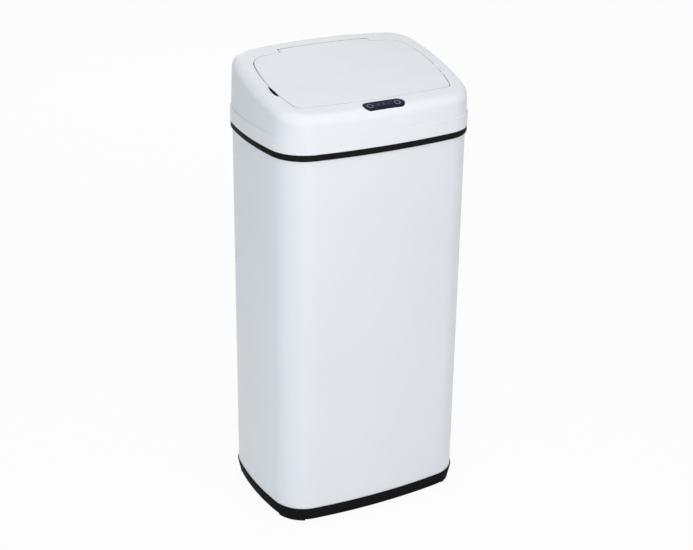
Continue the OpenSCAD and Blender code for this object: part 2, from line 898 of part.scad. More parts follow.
// Where the liner's screws stand, measured in from the flap's side, front and back
liner_in = [44, 30, 38];
liner_boss_r = 3.5;
liner_spots = [for (s = [-1, 1])
               each [[s * (flap_half_w - liner_in.x), liner_in.y - flap_front],
                     [s * (flap_half_w - liner_in.x), flap_back - liner_in.z]]];
hub_r = 3.6;
// The hubs on the shaft, measured inwards from the tongue's sides, and one in the middle
hub_w = 16;
hub_in = 3;
hub_outer = tongue_half_w - hub_in;
hub_spans = [[-hub_outer, hub_w - hub_outer], [-hub_w / 2, hub_w / 2], [hub_outer - hub_w, hub_outer]];

module at_liner_screws() {
    for (p = liner_spots)
        translate([p.x, p.y, deck(p.x, p.y)]) rotate([deck_slope, 0, 0]) children();
}

module flap_cover() {
    color("white") difference() {
        union() {
            intersection() {
                solid_2d(cover_z, sky) flap_2d(-gap_half);
                deck_slab(0, flap_skin);
            }
            intersection() {
                at_liner_screws() translate([0, 0, -reach]) cylinder(h = 2 * reach, r = liner_boss_r);
                deck_slab(flap_skin / 2, flap_rim - liner_lap);
            }
        }
        at_liner_screws() translate([0, 0, -reach]) cylinder(h = reach - flap_skin / 2, r = screw_r);
        edge_relief();
    }
}

// Beside the tongue the flap's edge is hollowed, so that it turns over the cover's edge
module edge_relief() {
    for (m = [0, 1])
        mirror([m, 0, 0]) along_x(tongue_half_w, flap_half_w) circle(edge_sweep + 3 * fit);
}

module flap_liner() {
    color([0.1, 0.1, 0.11]) difference() {
        union() {
            difference() {
                union() {
                    intersection() {
                        solid_2d(cover_z, sky) difference() {
                            flap_2d(-gap_half - rim_step);
                            flap_2d(-gap_half - rim_step - rim_t);
                        }
                        deck_slab(flap_skin, flap_rim);
                    }
                    intersection() {
                        solid_2d(cover_z, sky) flap_2d(-gap_half - rim_step - rim_t / 2);
                        deck_slab(flap_rim - liner_lap, flap_rim + liner_t);
                    }
                }
                along_x(-hub_outer, hub_outer)
                    square([2 * (shaft_r + 0.7), 2 * trough_r], center = true);
                edge_relief();
            }
            for (s = hub_spans)
                along_x(s[0], s[1]) circle(hub_r);
        }
        along_x(-big / 2, big / 2) circle(shaft_r + run / 2);
        at_liner_screws() translate([0, 0, -reach]) cylinder(h = 2 * reach, r = screw_r + 0.5);
    }
}

module liner_screws() {
    under = flap_rim + liner_t + 0.2;
    color("silver") at_liner_screws()
        translate([0, 0, -under]) screw(screw_r, under - flap_skin - 1, 2.6, 1.1);
}

// ---- the gear train in the right-hand side of the lid, between two plates

// The plates stand inside the line of the throat's side wall
plate_x = throat_half_w - 10;
gear_plate_t = 2;
gear_gap = 0.6;
sector_x = plate_x + gear_plate_t + gear_gap;
wheel_x = sector_x + gear_w + gear_gap;
outer_x = wheel_x + gear_w + gear_gap;
shaft_end = sector_x + gear_w + gear_gap / 2;

sector_angle = -75;
second_angle = -95;
motor_angle = -75;
flap_swing = 76;
sector_margin = 12;

function centre_distance(m, z) = m * (z + pinion_teeth) / 2;
function step(c, r, a) = c + r * [cos(a), sin(a)];

// Centres in the YZ plane, from the hinge's axis
second_c = step([0, 0], centre_distance(sector_module, sector_teeth), sector_angle);
first_c = step(second_c, centre_distance(second_module, second_teeth), second_angle);
motor_c = step(first_c, centre_distance(first_module, first_teeth), motor_angle);
posts = [[-13, -34], [20, -22], [-6, -48]];
post_r = 2.2;

function involute_angle(a) = tan(a) * 180 / PI - a;

// Outline of a spur gear with involute flanks, a tooth centred on angle zero
function gear_points(m, z, play) =
    let (r = m * z / 2, rb = r * cos(20), tip = r + 0.9 * m, root = r - 1.25 * m)
    let (half = 90 / z + involute_angle(20) - play / (2 * r) * 180 / PI)
    let (r0 = max(rb, root + 0.05))
    [for (t = [0:z - 1]) let (c = 360 * t / z)
     each concat([polar(root, c - half - 0.4 * 90 / z)],
                 [for (i = [0:3]) let (q = r0 + (tip - r0) * i / 3)
                  polar(q, c - half + involute_angle(acos(min(1, rb / q))))],
                 [for (i = [3:-1:0]) let (q = r0 + (tip - r0) * i / 3)
                  polar(q, c + half - involute_angle(acos(min(1, rb / q))))],
                 [polar(root, c + half + 0.4 * 90 / z)])];

function polar(r, a) = r * [cos(a), sin(a)];

gear_play = 0.12;

module gear_2d(m, z, turn) {
    rotate(turn) polygon(gear_points(m, z, gear_play));
}

// A pinion with a gap turned to the wheel that it meshes with
module pinion_2d(m, from_wheel) {
    gear_2d(m, pinion_teeth, from_wheel + 180 + 180 / pinion_teeth);
}

module wedge_2d(r, a0, a1) {
    polygon(concat([[0, 0]], [for (i = [0:8]) polar(r, a0 + (a1 - a0) * i / 8)]));
}

sector_reach = sector_module * (sector_teeth / 2 + 0.9) + fit;
second_reach = second_module * (second_teeth / 2 + 0.9) + fit;

module sector_gear() {
    r = sector_module * (sector_teeth / 2 + 2);
    color([0.92, 0.92, 0.86]) difference() {
        union() {
            along_x(sector_x, sector_x + gear_w) intersection() {
                gear_2d(sector_module, sector_teeth, sector_angle);
                wedge_2d(r, sector_angle - sector_margin, sector_angle + flap_swing + sector_margin);
            }
            along_x(sector_x - gear_gap / 2, sector_x + gear_w + gear_gap / 2) circle(shaft_r + 0.8);
        }
        along_x(-big, big) circle(shaft_r + run / 2);
    }
}

// Where the lightening holes stand round the second gear
second_spoke = 8;

module second_gear() {
    color([0.92, 0.92, 0.86]) difference() {
        union() {
            along_x(wheel_x, wheel_x + gear_w)
                translate(second_c) gear_2d(second_module, second_teeth, second_angle);
            along_x(sector_x - gear_gap / 2, wheel_x + gear_w)
                translate(second_c) pinion_2d(sector_module, sector_angle);
        }
        along_x(-big, big) translate(second_c) circle(axle_r + run);
        along_x(wheel_x - cut, wheel_x + gear_w + cut)
            for (a = [0:60:300])
                translate(second_c + polar(second_spoke, a)) circle(second_spoke / 4);
    }
}

module first_gear() {
    color([0.92, 0.92, 0.86]) difference() {
        union() {
            along_x(sector_x, sector_x + gear_w)
                translate(first_c) gear_2d(first_module, first_teeth, motor_angle);
            along_x(sector_x, wheel_x + gear_w + 0.2)
                translate(first_c) pinion_2d(second_module, second_angle);
        }
        along_x(-big, big) translate(first_c) circle(axle_r + run);
    }
}

module motor_pinion() {
    color("goldenrod") along_x(sector_x - gear_gap / 3, sector_x + gear_w + gear_gap / 3)
        translate(motor_c) pinion_2d(first_module, motor_angle);
    color("silver") along_x(plate_x - 3, shaft_end) translate(motor_c) circle(motor_shaft_r);
}

// The motor's shaft, the bearing noses at its two ends, and how far the rear one stands out
motor_shaft_r = 1;
motor_nose_r = 3;
motor_tail_r = 4.5;
motor_tail = 2.5;

module motor() {
    color("silver") difference() {
        union() {
            along_x(plate_x - motor_l, plate_x) translate(motor_c) circle(motor_r);
            along_x(plate_x - motor_l - motor_tail, plate_x) translate(motor_c) circle(motor_tail_r);
            along_x(plate_x - 1, plate_x + 1.4) translate(motor_c) circle(motor_nose_r);
        }
        along_x(plate_x - 3.4, plate_x + 10) translate(motor_c) circle(motor_shaft_r + run);
        for (s = [-1, 1])
            along_x(plate_x - motor_l - motor_tail, plate_x - motor_l + fit)
                translate(motor_c + [0, s * (motor_r - 3)]) square([5, 1.5], center = true);
    }
}

// Radius of the plates round the axles
axle_pad = 5;

module gear_plate_2d(motor_pad) {
    translate(second_c) circle(axle_pad);
    translate(first_c) circle(axle_pad);
    translate(motor_c) circle(motor_pad);
    for (p = posts)
        translate(p) circle(post_r + 1);
}

module axle_holes_2d() {
    translate(second_c) circle(axle_r + run / 2);
    translate(first_c) circle(axle_r + run / 2);
}

module gear_plate_inner() {
    color([0.25, 0.25, 0.27]) difference() {
        union() {
            along_x(plate_x, plate_x + gear_plate_t) {
                intersection() {
                    hull() {
                        circle(flange_r);
                        gear_plate_2d(motor_r + 1);
                    }
                    rotate(deck_slope) translate([-big / 2, -big]) square(big);
                }
                translate([motor_c.x - motor_r, plate_top - hinge_z])
                    square([2 * motor_r, motor_c.y + hinge_z - plate_top]);
            }
            for (p = posts)
                along_x(plate_x, outer_x) translate(p) circle(post_r);
        }
        along_x(-big, big) axle_holes_2d();
        along_x(-big, big) circle(shaft_r + 0.7);
        along_x(-big, big) translate(motor_c) circle(motor_nose_r + 0.1);
        for (p = posts)
            along_x(outer_x - 5, outer_x + cut) translate(p) circle(screw_r);
    }
}

module gear_plate_outer() {
    color([0.25, 0.25, 0.27]) difference() {
        along_x(outer_x, outer_x + gear_plate_t) hull() gear_plate_2d(3);
        along_x(-big, big) axle_holes_2d();
        for (p = posts)
            along_x(outer_x - cut, outer_x + 5) translate(p) circle(screw_r + 0.3);
    }
}

module gear_axles() {
    color("silver") for (c = [second_c, first_c])
        along_x(plate_x, outer_x + gear_plate_t) translate(c) circle(axle_r);
}

module hinge_shaft() {
    color("silver") along_x(-bracket_x - bracket_t - 1.2, shaft_end) circle(shaft_r);
}

module gearbox_screws() {
    color("silver") for (p = posts)
        translate([outer_x + gear_plate_t, hinge_y + p.x, hinge_z + p.y]) rotate([0, -90, 0])
            screw(screw_r, 6, 2.2, 1.2);
}

// ---- batteries and boards at the back

box_play = 0.8;
// The terminal at one end of each cell
cell_nib_r = 2.7;
cell_nib = 1;
// Space between the cells' ends at the middle, and from the cells' axes to the back of the body
cell_gap = 4.4;
cell_in = 12.2;
cell_z = cell_r + box_play;
cell_x = (cell_l + cell_gap) / 2;
cell_y = body_d / 2 - cell_in;
box_t = 1.5;
box_leg = 4;
box_leg_in = 13;
box_leg_x = box_w / 2 - box_leg_in;

module battery_box() {
    front = cell_y - cell_r - box_play / 2;
    lower = bay_z - 2 * cell_r - 2 * box_play;
    upper = bay_z + 2 * cell_r + 2 * box_play;
    color([0.15, 0.15, 0.16]) intersection() {
        difference() {
            union() {
                translate([-box_w / 2 - box_t, front - box_t, lower - box_t])
                    cube([box_w + 2 * box_t, reach, upper - lower + 2 * box_t]);
                for (s = [-1, 1])
                    translate([s * box_leg_x - box_leg / 2, front - box_t, plate_top])
                        cube([box_leg, 3 * box_leg, lower - plate_top]);
            }
            translate([-box_w / 2, front, lower]) cube([box_w, 2 * reach, upper - lower]);
        }
        solid_2d(plate_top, deck_h) body_plate(wall_proud(upper + box_t) - lid_wall - fit);
    }
}

// A cell lies along X, its terminal towards +X for dir = 1
module cell(dir) {
    rotate([0, 90 * dir, 0]) translate([0, 0, -cell_l / 2]) {
        cylinder(h = cell_l, r = cell_r);
        cylinder(h = cell_l + cell_nib, r = cell_nib_r);
    }
}

module battery_cells() {
    color([0.2, 0.25, 0.5])
        for (sx = [-1, 1])
            for (sz = [-1, 1])
                translate([sx * cell_x, cell_y, bay_z + sz * cell_z]) cell(sz);
}

contact_t = 0.5;

module battery_contacts() {
    color("gold")
        for (s = [-1, 1])
            translate([s * (box_w / 2 - contact_t) - contact_t / 2, cell_y - cell_r, bay_z - 2 * cell_r])
                cube([contact_t, 2 * cell_r, 4 * cell_r]);
}

// The door turns on a pin between two lugs that stand on the opening's sill
door_sill = 0.9;
door_gap = 0.4;
door_pin_r = 0.8;
door_lug_x = 14.5;
door_lug_w = 3;
// The dished finger grip near the door's upper edge
grip_r = 6;
grip_depth = 1;
grip_in = 7;
door_axis_z = bay_z - bay_h / 2 + 2.4;
door_axis_y = rear_wall(door_axis_z) - lid_wall / 2;

module at_door_axis(x0, x1) {
    translate([x0, door_axis_y, door_axis_z]) rotate([90, 0, 90]) linear_extrude(x1 - x0) children();
}

module door_lugs() {
    for (s = [-1, 1])
        at_door_axis(s * door_lug_x - door_lug_w / 2, s * door_lug_x + door_lug_w / 2) {
            circle(lid_wall / 2 - run);
            translate([run - lid_wall / 2, -3]) square([lid_wall - 2 * run, 3]);
        }
}

module battery_door() {
    color("white") {
        difference() {
            intersection() {
                wall_ring(bay_z - bay_h / 2, bay_z + bay_h / 2, lid_wall);
                translate([door_gap - bay_w / 2, body_d / 2 - reach / 2, bay_z - bay_h / 2 + door_sill])
                    cube([bay_w - 2 * door_gap, reach, bay_h - door_sill - door_gap]);
            }
            translate([0, rear_wall(bay_z) - grip_depth, bay_z + bay_h / 2 - grip_in]) rotate([-90, 0, 0])
                cylinder(h = grip_depth + lid_wall, r = grip_r);
            for (s = [-1, 1])
                at_door_axis(s * door_lug_x - door_lug_w / 2 - fit, s * door_lug_x + door_lug_w / 2 + fit)
                    translate([-2 * lid_wall, -2 * lid_wall])
                        square([4 * lid_wall, 2.5 * lid_wall + fit]);
        }
        at_door_axis(-door_lug_x - door_lug_w / 2, door_lug_x + door_lug_w / 2) circle(door_pin_r);
    }
}

module switch_body() {
    color([0.08, 0.08, 0.09]) at_switch() difference() {
        union() {
            translate([-switch_w / 2 - switch_rim, switch_lift, -switch_h / 2 - switch_rim])
                cube([switch_w + 2 * switch_rim, switch_rim_t, switch_h + 2 * switch_rim]);
            translate([switch_play - switch_w / 2, -switch_depth, switch_play - switch_h / 2])
                cube([switch_w - 2 * switch_play, switch_depth + 1, switch_h - 2 * switch_play]);
        }
        translate([switch_wall - switch_w / 2, -0.7 * switch_depth, switch_wall - switch_h / 2])
            cube([switch_w - 2 * switch_wall, reach, switch_h - 2 * switch_wall]);
        translate([-switch_w, rocker_pivot, 0]) rotate([0, 90, 0])
            cylinder(h = 2 * switch_w, r = rocker_pin_r + run);
    }
}

rocker_tilt = 8;
rocker_pivot = -1.5;
rocker_pin_r = 1.2;

module power_rocker() {
    w = switch_w - 2 * switch_wall - 2 * fit;
    pin = switch_w - 1;
    color([0.75, 0.1, 0.1]) at_switch() translate([0, rocker_pivot, 0]) {
        rotate([rocker_tilt, 0, 0]) rotate([90, 0, 90]) translate([0, 0, -w / 2])
            linear_extrude(w) polygon([[-3, -7], [3.2, -8.2], [2, 0], [3.2, 8.2], [-3, 7]]);
        translate([-pin / 2, 0, 0]) rotate([0, 90, 0]) cylinder(h = pin, r = rocker_pin_r);
    }
}

module control_board() {
    color([0.1, 0.35, 0.2]) difference() {
        translate([board_x, board_y, board_z]) cube([board_l, board_w, pcb_t]);
        for (p = board_posts)
            translate([p.x, p.y, board_z - cut]) cylinder(h = pcb_t + 2 * cut, r = board_hole_r);
    }
    color([0.1, 0.1, 0.1]) {
        translate([board_x + 13, board_y + 10, board_z + pcb_t]) cube([14, 9, 2]);
        translate([board_x + 32, board_y + 8, board_z + pcb_t]) cube([6, 14, 7]);
    }
    color([0.2, 0.3, 0.6])
        translate([board_x + 44, board_y + 15, board_z + pcb_t]) cylinder(h = 12, r = 4);
}

module cover_screws() {
    color("silver") {
        at_cover_screws() translate([0, 0, plate_z]) screw(screw_r, screw_l, 3, 1.8);
        at_sensor_posts() translate([0, 0, sensor_z]) screw(screw_r, board_screw_l, 2.4, 1.2);
    }
}

body_shell();
base_tray();
foot_pads();
bag_ring();
lid_collar();
lid_cover();
throat_frame();
flap_cover();
flap_liner();
hinge_shaft();
hinge_bushes();
flap_buffers();
gear_plate_inner();
gear_plate_outer();
gear_axles();
sector_gear();
second_gear();
first_gear();
motor_pinion();
motor();
sensor_window();
open_button();
close_button();
sensor_board();
infrared_pair();
status_light();
button_switches();
battery_box();
battery_cells();
battery_contacts();
battery_door();
switch_body();
power_rocker();
control_board();
cover_screws();
liner_screws();
gearbox_screws();
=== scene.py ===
# Motorised touch-free waste bin: the looks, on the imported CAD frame.
# Metres, +Z up, front towards -Y. Shapes are computed in millimetres, and scaled when meshed.
from math import acos, asin, atan2, copysign, cos, degrees, hypot, pi, radians, sin, sqrt, tan

import bpy
import numpy as np
from mathutils import Matrix, Vector
from numpy.linalg import norm

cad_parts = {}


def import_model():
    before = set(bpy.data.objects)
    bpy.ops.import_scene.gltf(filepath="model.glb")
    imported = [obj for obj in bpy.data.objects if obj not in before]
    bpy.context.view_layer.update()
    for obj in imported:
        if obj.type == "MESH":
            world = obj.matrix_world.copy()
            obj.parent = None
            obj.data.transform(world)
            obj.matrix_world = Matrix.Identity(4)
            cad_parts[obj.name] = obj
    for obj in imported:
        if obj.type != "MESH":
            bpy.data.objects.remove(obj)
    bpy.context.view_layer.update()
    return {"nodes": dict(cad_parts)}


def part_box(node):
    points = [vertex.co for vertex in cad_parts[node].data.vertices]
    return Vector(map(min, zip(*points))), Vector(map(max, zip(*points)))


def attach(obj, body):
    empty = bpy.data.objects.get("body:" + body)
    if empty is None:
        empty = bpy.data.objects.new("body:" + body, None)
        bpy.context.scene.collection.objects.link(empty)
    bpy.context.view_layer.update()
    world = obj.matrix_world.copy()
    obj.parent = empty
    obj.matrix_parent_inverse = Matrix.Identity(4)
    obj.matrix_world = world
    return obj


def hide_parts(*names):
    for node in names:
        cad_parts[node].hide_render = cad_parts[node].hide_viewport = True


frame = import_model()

NODES = frame["nodes"]
MM = 0.001


def box_mm(node):
    low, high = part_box(node)
    return np.array(low) / MM, np.array(high) / MM


# ---- sizes: widths and some heights come from the frame, curves are the CAD's own

STEEL_LOW, STEEL_HIGH = box_mm("body_shell")
HALF_W, HALF_D = STEEL_HIGH[0], -STEEL_LOW[1]
FRONT_BOW, END_BOW, CORNER_R = 14.8, 16.3, 53.0
COVER_Z = box_mm("lid_cover")[0][2]
BOARD_TOP = box_mm("sensor_board")[1][2]

# the deck's middle, slope and crown, the shoulder round it and the drafted wall below
DECK_TILT, WALL_TILT = 12, 2
DECK_H, DECK_SLOPE = 698.0, tan(radians(DECK_TILT))
CROWN_X, CROWN_Y = 3.0 / 165.0 ** 2, 1.1 / 121.5 ** 2
SHOULDER_R, LID_WALL, COVER_PROUD = 14.0, 2.5, 2.0
DRAFT = tan(radians(WALL_TILT))

# the flap and its tongue, the gap round them, and the hinge with the sweep of the skin beside it
FLAP_MID = -5.65
CENTRE = np.array([0.0, FLAP_MID])
FLAP_HALF_W, FLAP_FRONT, FLAP_BACK, FLAP_BOW, FLAP_T = 139.0, 91.6, 80.3, 9.0, 2.5
TONGUE_HALF_W, TONGUE_FRONT, TONGUE_BACK, TONGUE_CORNER = 77.0, 60.0, 90.0, 2.0
GAP, CORNER_ROOM = 0.6, 0.8
HINGE_Y, HINGE_Z, HINGE_SWEEP = 84.0, 708.129, 8.6

# a finger scoop's length, depth and place, and the slit that its dish falls to
SCOOP_L, SCOOP_D, SCOOP_Y = 30.5, 8.0, -28.0
SLIT, SCOOP_FALL = 1.9, 2.7

WINDOW_Y, WINDOW_L, WINDOW_W = -107.0, 68.6, 19.2
BUTTON_X, BUTTON_R = 22.4, 5.4
SWITCH_X, SWITCH_Z = 80.0, 669.0
DOOR_HINGE_X, DOOR_HINGE_Y, DOOR_HINGE_Z = 14.5, 121.827, 652.4

# screw posts: of the cover, of the sensor board, of the flap, and of the control board
COVER_POSTS = ((149, -52), (62, -104), (142, 68))
SENSOR_POST_X = 42
FLAP_POST_X, FLAP_POSTS_Y = 95, (-61.6, 42.3)
CONTROL_POSTS = ((5, 4), (5, 26), (47, 4), (47, 26))

# ribs of the base, the pads' distance past the corners' centres, and the blocks beside them
RIB_STEP, RIB_HALF_T = 40, 0.8
FOOT_OUT, BLOCK_DEPTH = 6, 11

# wires: radius, step between neighbours, and the places that each one passes
WIRE_R, WIRE_STEP = 0.75, 1.7
BATTERY_TO_BOARD = ((-58.6, 104, 640), (-63, 103, 639), (-68, 97, 637), (-72, 90, 634.5),
                    (-76, 88, 632.2))
SWITCH_TO_BATTERY = ((80, 106, 664), (80, 102, 663.4), (79, 100, 657), (74, 103, 645),
                     (64, 104, 641.5), (58.6, 104, 641))
MOTOR_TO_BOARD = ((82.4, 86, 663), (78, 86, 662), (74, 86, 654), (64, 86, 640), (40, 86, 634),
                  (0, 86, 633), (-40, 86, 633), (-64, 84, 633), (-73, 83, 632.2))
SENSOR_TO_BOARD = ((-46.5, -107, 655.5), (-54, -99.5, 651.5), (-70, -97, 648), (-95, -97, 645),
                   (-118, -91, 643), (-131, -79, 641.5), (-137, -55, 641), (-138, 0, 640),
                   (-136, 42, 638), (-132, 64, 635), (-121.8, 79, 632.4))


def deck(x, y):
    """Height of the cover's sloping top, without its shoulder."""
    return DECK_H + DECK_SLOPE * y - CROWN_X * x * x - CROWN_Y * y * y


# ---- outlines: four long arcs and four corner arcs, with their outward normals

def bow_r(half, bow):
    """Radius of an arc from half its chord and its rise."""
    return (half * half + bow * bow) / (2 * bow)


def rays(theta):
    """Unit vectors at some bearings in degrees."""
    t = np.radians(theta)
    return np.stack([np.cos(t), np.sin(t)], 1)


def quarter_arcs(hw, hd, bow_x, bow_y, r):
    """Centre and radius of the arcs at the end, at the corner and at the back, for +X, +Y."""
    rx, ry = bow_r(hd, bow_x), bow_r(hw, bow_y)
    end, back = np.array([hw - rx, 0.0]), np.array([0.0, hd - ry])
    apart = norm(end - back)
    way = (end - back) / apart
    along = ((ry - r) ** 2 - (rx - r) ** 2 + apart * apart) / (2 * apart)
    across = sqrt((ry - r) ** 2 - along * along)
    corner = back + along * way + across * np.array([way[1], -way[0]])
    return (end, rx), (corner, r), (back, ry)


def quarter(hw, hd, bow_x, bow_y, r, fine):
    """From the middle of the end to the middle of the back: points and normals."""
    arcs = quarter_arcs(hw, hd, bow_x, bow_y, r)
    end, corner, back = (centre for centre, _ in arcs)
    turns = [0, *(degrees(atan2(*(corner - c)[::-1])) for c in (end, back)), 90]
    normals = [rays(np.linspace(a, b, n * fine, endpoint=False))
               for a, b, n in zip(turns, turns[1:], (16, 16, 24))]
    points = [centre + radius * n for (centre, radius), n in zip(arcs, normals)]
    return np.vstack(points), np.vstack(normals)


def close_loop(back, front, to_back, to_front):
    """Points and normals anticlockwise from +X, from those of a back and a front quarter."""
    return [np.vstack([b, [0, behind], b[:0:-1] * [-1, 1], -f, [0, -before], f[:0:-1] * [1, -1]])
            for b, f, behind, before in zip(back, front, (to_back, 1), (to_front, 1))]


def body_loop(fine):
    q = quarter(HALF_W, HALF_D, END_BOW, FRONT_BOW, CORNER_R, fine)
    return close_loop(q, q, HALF_D, HALF_D)


def flap_loop(fine):
    """The flap's outline without its tongue."""
    to_back, to_front = FLAP_BACK - FLAP_MID, FLAP_FRONT + FLAP_MID
    back = quarter(FLAP_HALF_W, to_back, 14.7, FLAP_BOW, 31.0, fine)
    front = quarter(FLAP_HALF_W, to_front, 13.8, FLAP_BOW, 11.0, fine)
    points, normals = close_loop(back, front, to_back, to_front)
    return points + CENTRE, normals


BODY_P, BODY_N = body_loop(1)


def body_line(offset):
    return BODY_P + offset * BODY_N


def circle(x, y, r, n=48):
    return [x, y] + r * rays(np.linspace(0, 360, n, endpoint=False))


def rectangle(half_w, half_d):
    return np.array([[-half_w, -half_d], [half_w, -half_d], [half_w, half_d], [-half_w, half_d]])


def row(plan, z):
    """Points of a plan at one height, or at a height for each."""
    return np.column_stack([plan, np.broadcast_to(z, len(plan))])


# ---- meshes

def fillet(corners, steps=4):
    """A loop or a line with rounded corners, from corners of (x, y, radius)."""
    points, out = [np.array(c[:2], float) for c in corners], []
    for i, (p, (_, _, r)) in enumerate(zip(points, corners)):
        if not r:
            out.append(p)
            continue
        a, b = points[i - 1] - p, points[(i + 1) % len(points)] - p
        la, lb = norm(a), norm(b)
        a, b = a / la, b / lb
        half = acos(max(-1, min(1, a @ b))) / 2
        t = min(r / tan(half), 0.49 * la, 0.49 * lb)
        r = t * tan(half)
        c = p + (a + b) / norm(a + b) * (r / sin(half))
        u, v = p + a * t - c, p + b * t - c
        for k in np.arange(steps + 1) / steps:
            w = (1 - k) * u + k * v
            out.append(c + w / norm(w) * r)
    return out


def bend(*turns):
    """1 - cos and 1 - sin of some angles, for the rows of a rounded edge."""
    return [(1 - cos(a), 1 - sin(a)) for a in np.radians(turns)]


def grid_faces(rows, cols, ring=True, loop=False):
    """Quads between rows of points. ring joins a row's ends, loop the last row to the first."""
    r = np.arange(rows if loop else rows - 1)[:, None]
    c = np.arange(cols if ring else cols - 1)[None, :]
    r2, c2 = (r + 1) % rows, (c + 1) % cols
    quads = np.stack([r * cols + c, r * cols + c2, r2 * cols + c2, r2 * cols + c], -1)
    return quads.reshape(-1, 4).tolist()


def link_object(name, data):
    thing = bpy.data.objects.new(name, data)
    bpy.context.scene.collection.objects.link(thing)
    return thing


class Shell:
    """Points in millimetres and faces, gathered before they become one mesh."""

    def __init__(self):
        self.points, self.faces, self.count = [], [], 0

    def add(self, points, faces):
        self.faces += [[i + self.count for i in f] for f in faces]
        self.points.append(points)
        self.count += len(points)
        return self

    def rings(self, rows):
        """Rings of points skinned together, and the last one to the first."""
        return self.add(np.vstack(rows), grid_faces(len(rows), len(rows[0]), loop=True))

    def capped(self, rows):
        """Rings skinned together, with one face over the first and one over the last."""
        n, count = len(rows[0]), len(rows) * len(rows[0])
        caps = [list(range(n - 1, -1, -1)), list(range(count - n, count))]
        return self.add(np.vstack(rows), grid_faces(len(rows), n) + caps)

    def domed(self, rows, first, last):
        """Rings skinned together, with a fan to a point over the first and over the last."""
        n, count = len(rows[0]), len(rows) * len(rows[0])
        fans = [[count, (i + 1) % n, i] for i in range(n)]
        fans += [[count + 1, count - n + i, count - n + (i + 1) % n] for i in range(n)]
        return self.add(np.vstack([*rows, [first, last]]), grid_faces(len(rows), n) + fans)

    def section(self, section):
        """A closed section of (offset, height) swept round the body's outline."""
        return self.rings([row(body_line(offset), z) for offset, z in section])

    def prism(self, outline, low, high, at=None):
        """A prism on an outline of (x, y), from low to high."""
        return self.capped([moved(row(outline, z), at) for z in (low, high)])

    def turned(self, profile, at=None, n=32):
        """A profile of (radius, height) turned round Z: closed, or from the axis to the axis."""
        rows = [moved(row(circle(0, 0, r, n), z), at) for r, z in profile]
        if profile[0][0] > 0:
            return self.rings(rows)
        return self.domed(rows[1:-1], rows[0][0], rows[-1][0])

    def thing(self, name):
        mesh = bpy.data.meshes.new(name)
        mesh.from_pydata((np.vstack(self.points) * MM).tolist(), [], self.faces)
        mesh.validate()
        return link_object(name, mesh)


def moved(points, at):
    """Points after a 4x4 matrix or a plain shift in millimetres."""
    if at is None:
        return points
    if isinstance(at, Matrix):
        m = np.array(at)
        return np.asarray(points) @ m[:3, :3].T + m[:3, 3]
    return np.asarray(points) + np.array(at, float)


def modify(thing, name, kind, **settings):
    step = thing.modifiers.new(name, kind)
    for key, value in settings.items():
        setattr(step, key, value)


def even_normals(thing):
    modify(thing, "normals", "WEIGHTED_NORMAL", keep_sharp=True, weight=80)


def cut(thing, *shells):
    """Takes closed shells out of a closed mesh."""
    for i, shell in enumerate(shells):
        tool = shell.thing(f"{thing.name}_tool{i}")
        modify(thing, "cut", "BOOLEAN", operation="DIFFERENCE", solver="EXACT", object=tool)
        evaluated = thing.evaluated_get(bpy.context.evaluated_depsgraph_get())
        result = bpy.data.meshes.new_from_object(evaluated)
        thing.modifiers.clear()
        used = (thing.data, tool.data)
        thing.data = result
        bpy.data.objects.remove(tool)
        for mesh in used:
            bpy.data.meshes.remove(mesh)


def wear(thing, material):
    thing.data.materials.clear()
    thing.data.materials.append(material)


def finish(thing, body, material, replaces=(), angle=34):
    """Smooth shading, even normals, material and body for a piece, and the nodes it replaces."""
    mesh = thing.data
    mesh.polygons.foreach_set("use_smooth", [True] * len(mesh.polygons))
    mesh.set_sharp_from_angle(angle=radians(angle))
    even_normals(thing)
    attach(thing, body)
    wear(thing, material)
    if replaces:
        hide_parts(*replaces)


# ---- finishes: every one is procedural, with its detail at its real size

WHITE_STEEL = (0.800, 0.815, 0.845)
WHITE_COVER = (0.810, 0.822, 0.850)
FLOOR_LIFT = 0.94


def add_node(tree, kind, inputs=None, **settings):
    """A new node's outputs. An input that is a socket is linked, any other is set directly."""
    node = tree.nodes.new(kind)
    for key, value in settings.items():
        setattr(node, key, value)
    for key, value in (inputs or {}).items():
        if isinstance(value, bpy.types.NodeSocket):
            tree.links.new(value, node.inputs[key])
        else:
            node.inputs[key].default_value = value
    return node.outputs


def seen_directly(tree):
    """1 for what the camera sees, also in a reflection or through a lens, and 0 for plain light."""
    path = add_node(tree, "ShaderNodeLightPath")
    seen = path["Is Camera Ray"]
    for ray in ("Is Glossy Ray", "Is Transmission Ray"):
        seen = add_node(tree, "ShaderNodeMath", {0: seen, 1: path[ray]},
                        operation="MAXIMUM")[0]
    return seen


def toned(colour, tone):
    """A colour times one factor, or times one for each channel."""
    return np.multiply(colour, tone).tolist()


